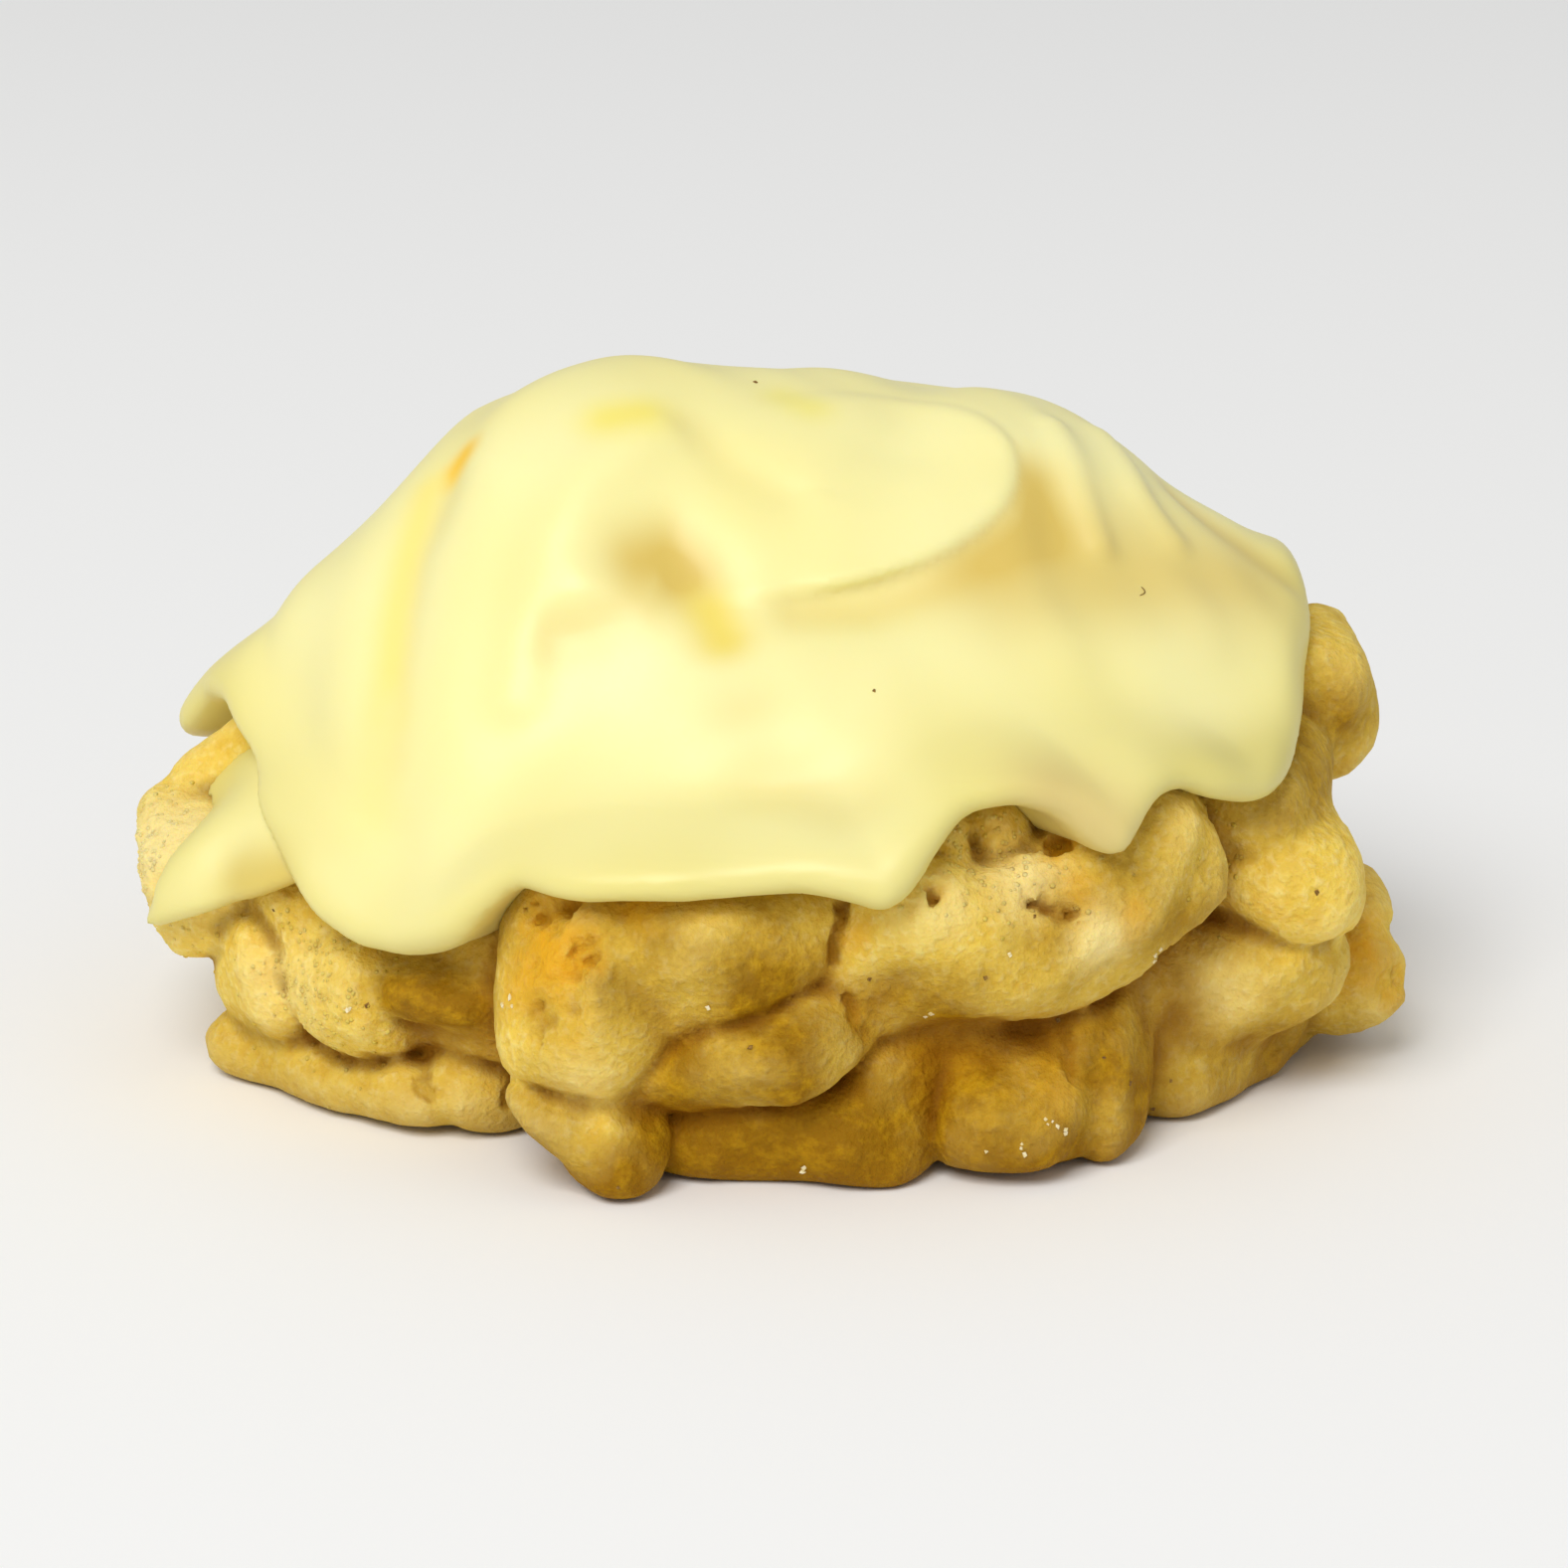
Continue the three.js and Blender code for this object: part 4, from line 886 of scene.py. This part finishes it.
# Lemon icing: icing sugar and butter, set with a satin skin. It is slightly translucent, a pale
# greenish yellow, tan where a fold has left it thin, partly the dough seen through and partly painted
# shade in the sunk folds, and a darker greenish tan towards its lower edges, which is painted shade.
lemon_icing, tree, shader, place = new_finish("set_lemon_icing", {
    "Roughness": 0.4, "IOR": 1.45,
    "Subsurface Weight": 0.2, "Subsurface Radius": (1.0, 0.8, 0.35), "Subsurface Scale": 0.001,
})
thin_and_shaded, rim = (
    add_node(tree, "ShaderNodeAttribute", {}, attribute_name=name).outputs["Fac"]
    for name in ("thin_and_shaded", "rim")
)
clouds = add_node(tree, "ShaderNodeTexNoise", {"Vector": place, "Scale": 1 / 0.014, "Detail": 1.0})
colour = layered(srgb("#f5ea9a"), "#f9f1ad", clouds.outputs["Fac"], 0.3, 0.7, 1.0)
# Tan in the folds: partly the dough seen through thin icing, partly painted shade.
colour = layered(colour, "#d9b84e", thin_and_shaded, 0.05, 1.4, 0.85)
# Painted shade towards the lower edges.
colour = layered(colour, "#ded070", rim, 0.15, 1.0, 0.75)
for name, stained, _, _ in STAINS:
    stain = add_node(tree, "ShaderNodeAttribute", {}, attribute_name=name).outputs["Fac"]
    colour = layered(colour, stained, stain, 0.05, 1.0, 0.9)
tree.links.new(colour, shader.inputs["Base Color"])
icing_piece.data.materials.append(lemon_icing)

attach(icing_piece, "root")
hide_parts("icing")

# ---- crumbs ----
# Crumbs of the dough that broke loose where its skin tore as it rose, and baked on. They are
# scattered over the dough's own surface in the crumbly places, each flattened onto it.
CRUMBS_CLEAR, CRUMBS_FADE = 0.5, 0.4  # millimetres from the icing
CRUMBS_FROM = 0.4  # none below this height
clear_of_icing = np.clip((looked_up(icing, STEP, *dough_corners) - CRUMBS_CLEAR) / CRUMBS_FADE, 0, 1)
bare = clear_of_icing * (dough_corners[2] > CRUMBS_FROM)
set_attribute(dough_piece, "bare", bare * spread(dough_corners, crumbly) ** 2)

CRUMB_SIZES = {"Per area": 4.0e6, "Least size": 0.00018, "Largest size": 0.0004, "Flatness": 0.5, "Seed": 5}
scatter = bpy.data.node_groups.new("crumbs_on_dough", "GeometryNodeTree")
scatter.interface.new_socket("Geometry", in_out="INPUT", socket_type="NodeSocketGeometry")
sockets = {}
for name in CRUMB_SIZES:
    kind = "NodeSocketInt" if name == "Seed" else "NodeSocketFloat"
    sockets[name] = scatter.interface.new_socket(name, in_out="INPUT", socket_type=kind).identifier
scatter.interface.new_socket("Geometry", in_out="OUTPUT", socket_type="NodeSocketGeometry")
given = add_node(scatter, "NodeGroupInput", {}).outputs
bare = add_node(scatter, "GeometryNodeInputNamedAttribute", {"Name": "bare"}, data_type="FLOAT").outputs[0]
density = add_node(scatter, "ShaderNodeMath", {0: bare, 1: given["Per area"]}, operation="MULTIPLY")
points = add_node(scatter, "GeometryNodeDistributePointsOnFaces", {
    "Mesh": given["Geometry"], "Density": density.outputs[0], "Seed": given["Seed"],
}).outputs
size = add_node(scatter, "FunctionNodeRandomValue", {
    "Min": given["Least size"], "Max": given["Largest size"], "Seed": given["Seed"],
}, data_type="FLOAT").outputs["Value"]
thick = add_node(scatter, "ShaderNodeMath", {0: size, 1: given["Flatness"]}, operation="MULTIPLY").outputs[0]
scale = add_node(scatter, "ShaderNodeCombineXYZ", {"X": size, "Y": size, "Z": thick}).outputs[0]
one_crumb = add_node(scatter, "GeometryNodeMeshIcoSphere", {"Radius": 0.5, "Subdivisions": 1})
placed = add_node(scatter, "GeometryNodeInstanceOnPoints", {
    "Points": points["Points"], "Instance": one_crumb.outputs["Mesh"],
    "Rotation": points["Rotation"], "Scale": scale,
}).outputs[0]
real = add_node(scatter, "GeometryNodeRealizeInstances", {"Geometry": placed}).outputs[0]
coloured = add_node(scatter, "GeometryNodeSetMaterial", {"Geometry": real, "Material": baked_dough})
add_node(scatter, "NodeGroupOutput", {"Geometry": coloured.outputs[0]})

source = in_scene("crumb_source", dough_piece.data)
modifier = source.modifiers.new("crumbs", "NODES")
modifier.node_group = scatter
for name, value in CRUMB_SIZES.items():
    modifier[sockets[name]] = value
evaluated = source.evaluated_get(bpy.context.evaluated_depsgraph_get())
crumbs = in_scene("crumbs", bpy.data.meshes.new_from_object(evaluated))
bpy.data.objects.remove(source)
crumbs.data.shade_smooth()
crumbs.data.materials.clear()
crumbs.data.materials.append(baked_dough)
crumbs.data.polygons.foreach_set("material_index", np.zeros(len(crumbs.data.polygons), np.int32))

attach(crumbs, "root")

# ---- sugar ----
# Crystals of coarse sugar that stayed whole in the oven: small rough cubes, half sunk in the crumb
# where they were pressed in.
SUGAR_SIZES, SUGAR_SPREAD, SUGAR_FLATNESS = (0.12, 0.25), 0.3, 0.7
SUGAR_SPOTS = [  # azimuth, height, how many crystals
    (238.8, 11.0, 2), (239.8, 10.8, 1), (317.5, 12.3, 4), (215.9, 8.3, 3), (299.1, 2.7, 3), (295.5, 2.5, 1),
    (298.9, 13.8, 1), (290.6, 10.3, 2), (302.6, 4.0, 4), (304.5, 3.6, 2), (274.4, 1.6, 2), (263.0, 11.6, 1),
]
CUBE = np.array(list(itertools.product((-0.5, 0.5), repeat=3)))
CUBE_FACES = np.array([(0, 1, 3, 2), (4, 6, 7, 5), (0, 4, 5, 1), (2, 3, 7, 6), (0, 2, 6, 4), (1, 5, 7, 3)])
ROUGHNESS_OF_CORNERS = 0.16
SETTLING_STEPS, SLOPE_REACH = 3, 0.3


def settled(field, point):
    """The nearest point of a field's surface, and the way out of the surface there."""
    point = np.array(point, float)
    for _ in range(SETTLING_STEPS):
        out = np.array([
            looked_up(field, STEP, *(point + reach)) - looked_up(field, STEP, *(point - reach))
            for reach in SLOPE_REACH * np.eye(3)
        ])
        out = out / np.linalg.norm(out)
        point = point - looked_up(field, STEP, *point) * out
    return point, out


def planted(name, field, spots, sizes, spread, flatness, material, seed):
    """Small rough bits of one kind, some at each spot of a field's surface, as one piece."""
    draw = np.random.default_rng(seed)
    verts, faces = [], []
    for point, count in spots:
        for _ in range(count):
            at, out = settled(field, np.array(point) + draw.normal(0, spread, 3) * (count > 1))
            lean = draw.normal(0, 1, 3)
            across = np.cross(out, lean / np.linalg.norm(lean))
            across /= np.linalg.norm(across)
            axes = np.array([across, np.cross(out, across), out * flatness])
            shape = (CUBE + draw.normal(0, ROUGHNESS_OF_CORNERS, CUBE.shape)) * draw.uniform(*sizes)
            faces.append(CUBE_FACES + len(CUBE) * len(faces))
            verts.append((at + shape @ axes) / 1000)
    mesh = bpy.data.meshes.new(name)
    mesh.from_pydata(np.concatenate(verts).tolist(), [], np.concatenate(faces).tolist())
    mesh.materials.append(material)
    made = in_scene(name, mesh)
    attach(made, "root")


# Sugar crystal: clear, with a frosted cream skin of 0.2 mm grain.
sugar_crystal, tree, shader, place = new_finish("sugar_crystal", {
    "Roughness": 0.2, "IOR": 1.54,
    "Subsurface Weight": 0.3, "Subsurface Radius": (0.3, 0.3, 0.25), "Subsurface Scale": 0.001,
})
frosting = add_node(tree, "ShaderNodeTexNoise", {"Vector": place, "Scale": 1 / 0.0002, "Detail": 2.0})
colour = layered(srgb("#e8d290"), "#f6eac0", frosting.outputs["Fac"], 0.4, 0.6, 1.0)
tree.links.new(colour, shader.inputs["Base Color"])

spots = [(surface_point(dough, azimuth, height), count) for azimuth, height, count in SUGAR_SPOTS]
planted("sugar", dough, spots, SUGAR_SIZES, SUGAR_SPREAD, SUGAR_FLATNESS, sugar_crystal, 21)

# ---- specks ----
# Dark flecks of burnt flour and vanilla, baked into the skin of the dough; two came to lie on the
# icing before it set.
FLECK_SIZES, FLECK_SIZES_ON_ICING = (0.14, 0.26), (0.14, 0.24)
FLECK_SPREAD, FLECK_FLATNESS = 0.2, 0.5
DOUGH_FLECKS = [  # azimuth, height
    (335.4, 14.2), (309.2, 8.4), (312.3, 6.4), (314.5, 4.8), (327.3, 2.8), (326.1, 1.1), (217.0, 8.3),
    (202.2, 12.2), (253.5, 1.3), (302.4, 15.7), (283.0, 12.4), (296.0, 12.6), (268.0, 9.4), (40.0, 12.0),
    (75.0, 6.0), (112.0, 14.0), (150.0, 8.0),
]
ICING_FLECKS = [((-0.8, 1.1, 40.8), 1), ((6.0, -17.6, 27.2), 1)]

# Burnt fleck: charred flour, matt, dark brown with paler brown edges.
burnt_fleck, tree, shader, place = new_finish("burnt_fleck", {"Roughness": 0.85})
char = add_node(tree, "ShaderNodeTexNoise", {"Vector": place, "Scale": 1 / 0.0002, "Detail": 2.0})
colour = layered(srgb("#6a4814"), "#a07a30", char.outputs["Fac"], 0.4, 0.65, 1.0)
tree.links.new(colour, shader.inputs["Base Color"])

spots = [(surface_point(dough, azimuth, height), 1) for azimuth, height in DOUGH_FLECKS]
planted("dough_specks", dough, spots, FLECK_SIZES, FLECK_SPREAD, FLECK_FLATNESS, burnt_fleck, 33)
planted(
    "icing_specks", icing, ICING_FLECKS, FLECK_SIZES_ON_ICING, FLECK_SPREAD, FLECK_FLATNESS, burnt_fleck,
    34,
)

# ---- fibre ----
# A short brown fibre that lies in the icing on the right, bent like a bracket. It is a thin round
# tube with tapered ends, laid on the icing's surface.
FIBRE_FROM, FIBRE_TO = np.array((21.9, -6.5, 30.7)), np.array((21.5, -6.9, 29.5))
FIBRE_BOW = 0.28
FIBRE_RADIUS = 0.045
FIBRE_TAPER, FIBRE_END = 4, 0.05
FIBRE_RINGS, FIBRE_SIDES = 12, 6
rings = []
for share in np.linspace(0, 1, FIBRE_RINGS):
    bow = np.array((FIBRE_BOW * math.sin(math.pi * share), 0, 0))
    at, out = settled(icing, FIBRE_FROM + share * (FIBRE_TO - FIBRE_FROM) + bow)
    side = np.cross(out, FIBRE_TO - FIBRE_FROM)
    side /= np.linalg.norm(side)
    turns = 2 * np.pi * np.arange(FIBRE_SIDES) / FIBRE_SIDES
    radius = FIBRE_RADIUS * math.sqrt(max(FIBRE_END, 1 - (2 * share - 1) ** FIBRE_TAPER))
    ring = radius * (np.outer(np.cos(turns), side) + np.outer(np.sin(turns), out))
    rings.append(at + 0.5 * FIBRE_RADIUS * out + ring)
faces = []
for first in range(0, FIBRE_SIDES * (FIBRE_RINGS - 1), FIBRE_SIDES):
    for k in range(FIBRE_SIDES):
        after = (k + 1) % FIBRE_SIDES
        faces.append((first + k, first + after, first + FIBRE_SIDES + after, first + FIBRE_SIDES + k))
corner_count = FIBRE_SIDES * FIBRE_RINGS
faces.append(tuple(range(FIBRE_SIDES - 1, -1, -1)))
faces.append(tuple(range(corner_count - FIBRE_SIDES, corner_count)))
fibre_mesh = bpy.data.meshes.new("fibre")
fibre_mesh.from_pydata((np.concatenate(rings) / 1000).tolist(), [], faces)
fibre_mesh.shade_smooth()

# Brown fibre: a plant fibre, half matt, streaked in two browns.
brown_fibre, tree, shader, place = new_finish("brown_fibre", {"Roughness": 0.6})
strand = add_node(tree, "ShaderNodeTexNoise", {"Vector": place, "Scale": 1 / 0.0003, "Detail": 1.0})
colour = layered(srgb("#5c4418"), "#9a7c34", strand.outputs["Fac"], 0.4, 0.6, 1.0)
tree.links.new(colour, shader.inputs["Base Color"])
fibre_mesh.materials.append(brown_fibre)

fibre = in_scene("fibre", fibre_mesh)
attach(fibre, "root")

# ---- floor, lights and camera ----
# A pale matt floor in even white light, with one large softbox above, in front and to the left.
FLOOR_HALF = 1.0
floor_mesh = bpy.data.meshes.new("floor")
floor_corners = [(x * FLOOR_HALF, y * FLOOR_HALF, 0) for x, y in ((-1, -1), (1, -1), (1, 1), (-1, 1))]
floor_mesh.from_pydata(floor_corners, [], [(0, 1, 2, 3)])
pale_floor = new_finish("pale_matt_floor", {"Base Color": srgb("#fbfbfa"), "Roughness": 0.9})[0]
floor_mesh.materials.append(pale_floor)
in_scene("floor", floor_mesh)

world = bpy.data.worlds.new("studio")
world.use_nodes = True
world.node_tree.nodes["Background"].inputs["Color"].default_value = (1, 1, 1, 1)
world.node_tree.nodes["Background"].inputs["Strength"].default_value = 0.45
bpy.context.scene.world = world

LIT_POINT = Vector((0, 0, 0.015))
softbox = bpy.data.lights.new("softbox", "AREA")
softbox.energy = 27
softbox.size = 1.1
softbox_object = in_scene("softbox", softbox)
softbox_object.location = (-0.50, -1.24, 1.49)
softbox_object.rotation_euler = (softbox_object.location - LIT_POINT).to_track_quat("Z", "Y").to_euler()
bpy.context.scene.view_settings.view_transform = "Standard"

# The camera looks down a little on the cookie's front, from 320 mm away.
ELEVATION = math.radians(17.0)
DISTANCE = 0.320
TARGET = Vector((0.0009, 0.0, 0.0163))
FRAME_PIXELS = 1577
METRES_PER_PIXEL = 0.00006  # at the target
camera = bpy.data.cameras.new("camera")
camera.sensor_width = 36.0
camera.lens = camera.sensor_width * DISTANCE / (FRAME_PIXELS * METRES_PER_PIXEL)
camera.clip_start = 0.01
camera_object = in_scene("camera", camera)
camera_object.location = TARGET + Vector((0, -math.cos(ELEVATION), math.sin(ELEVATION))) * DISTANCE
camera_object.rotation_euler = (math.pi / 2 - ELEVATION, 0, 0)
bpy.context.scene.camera = camera_object
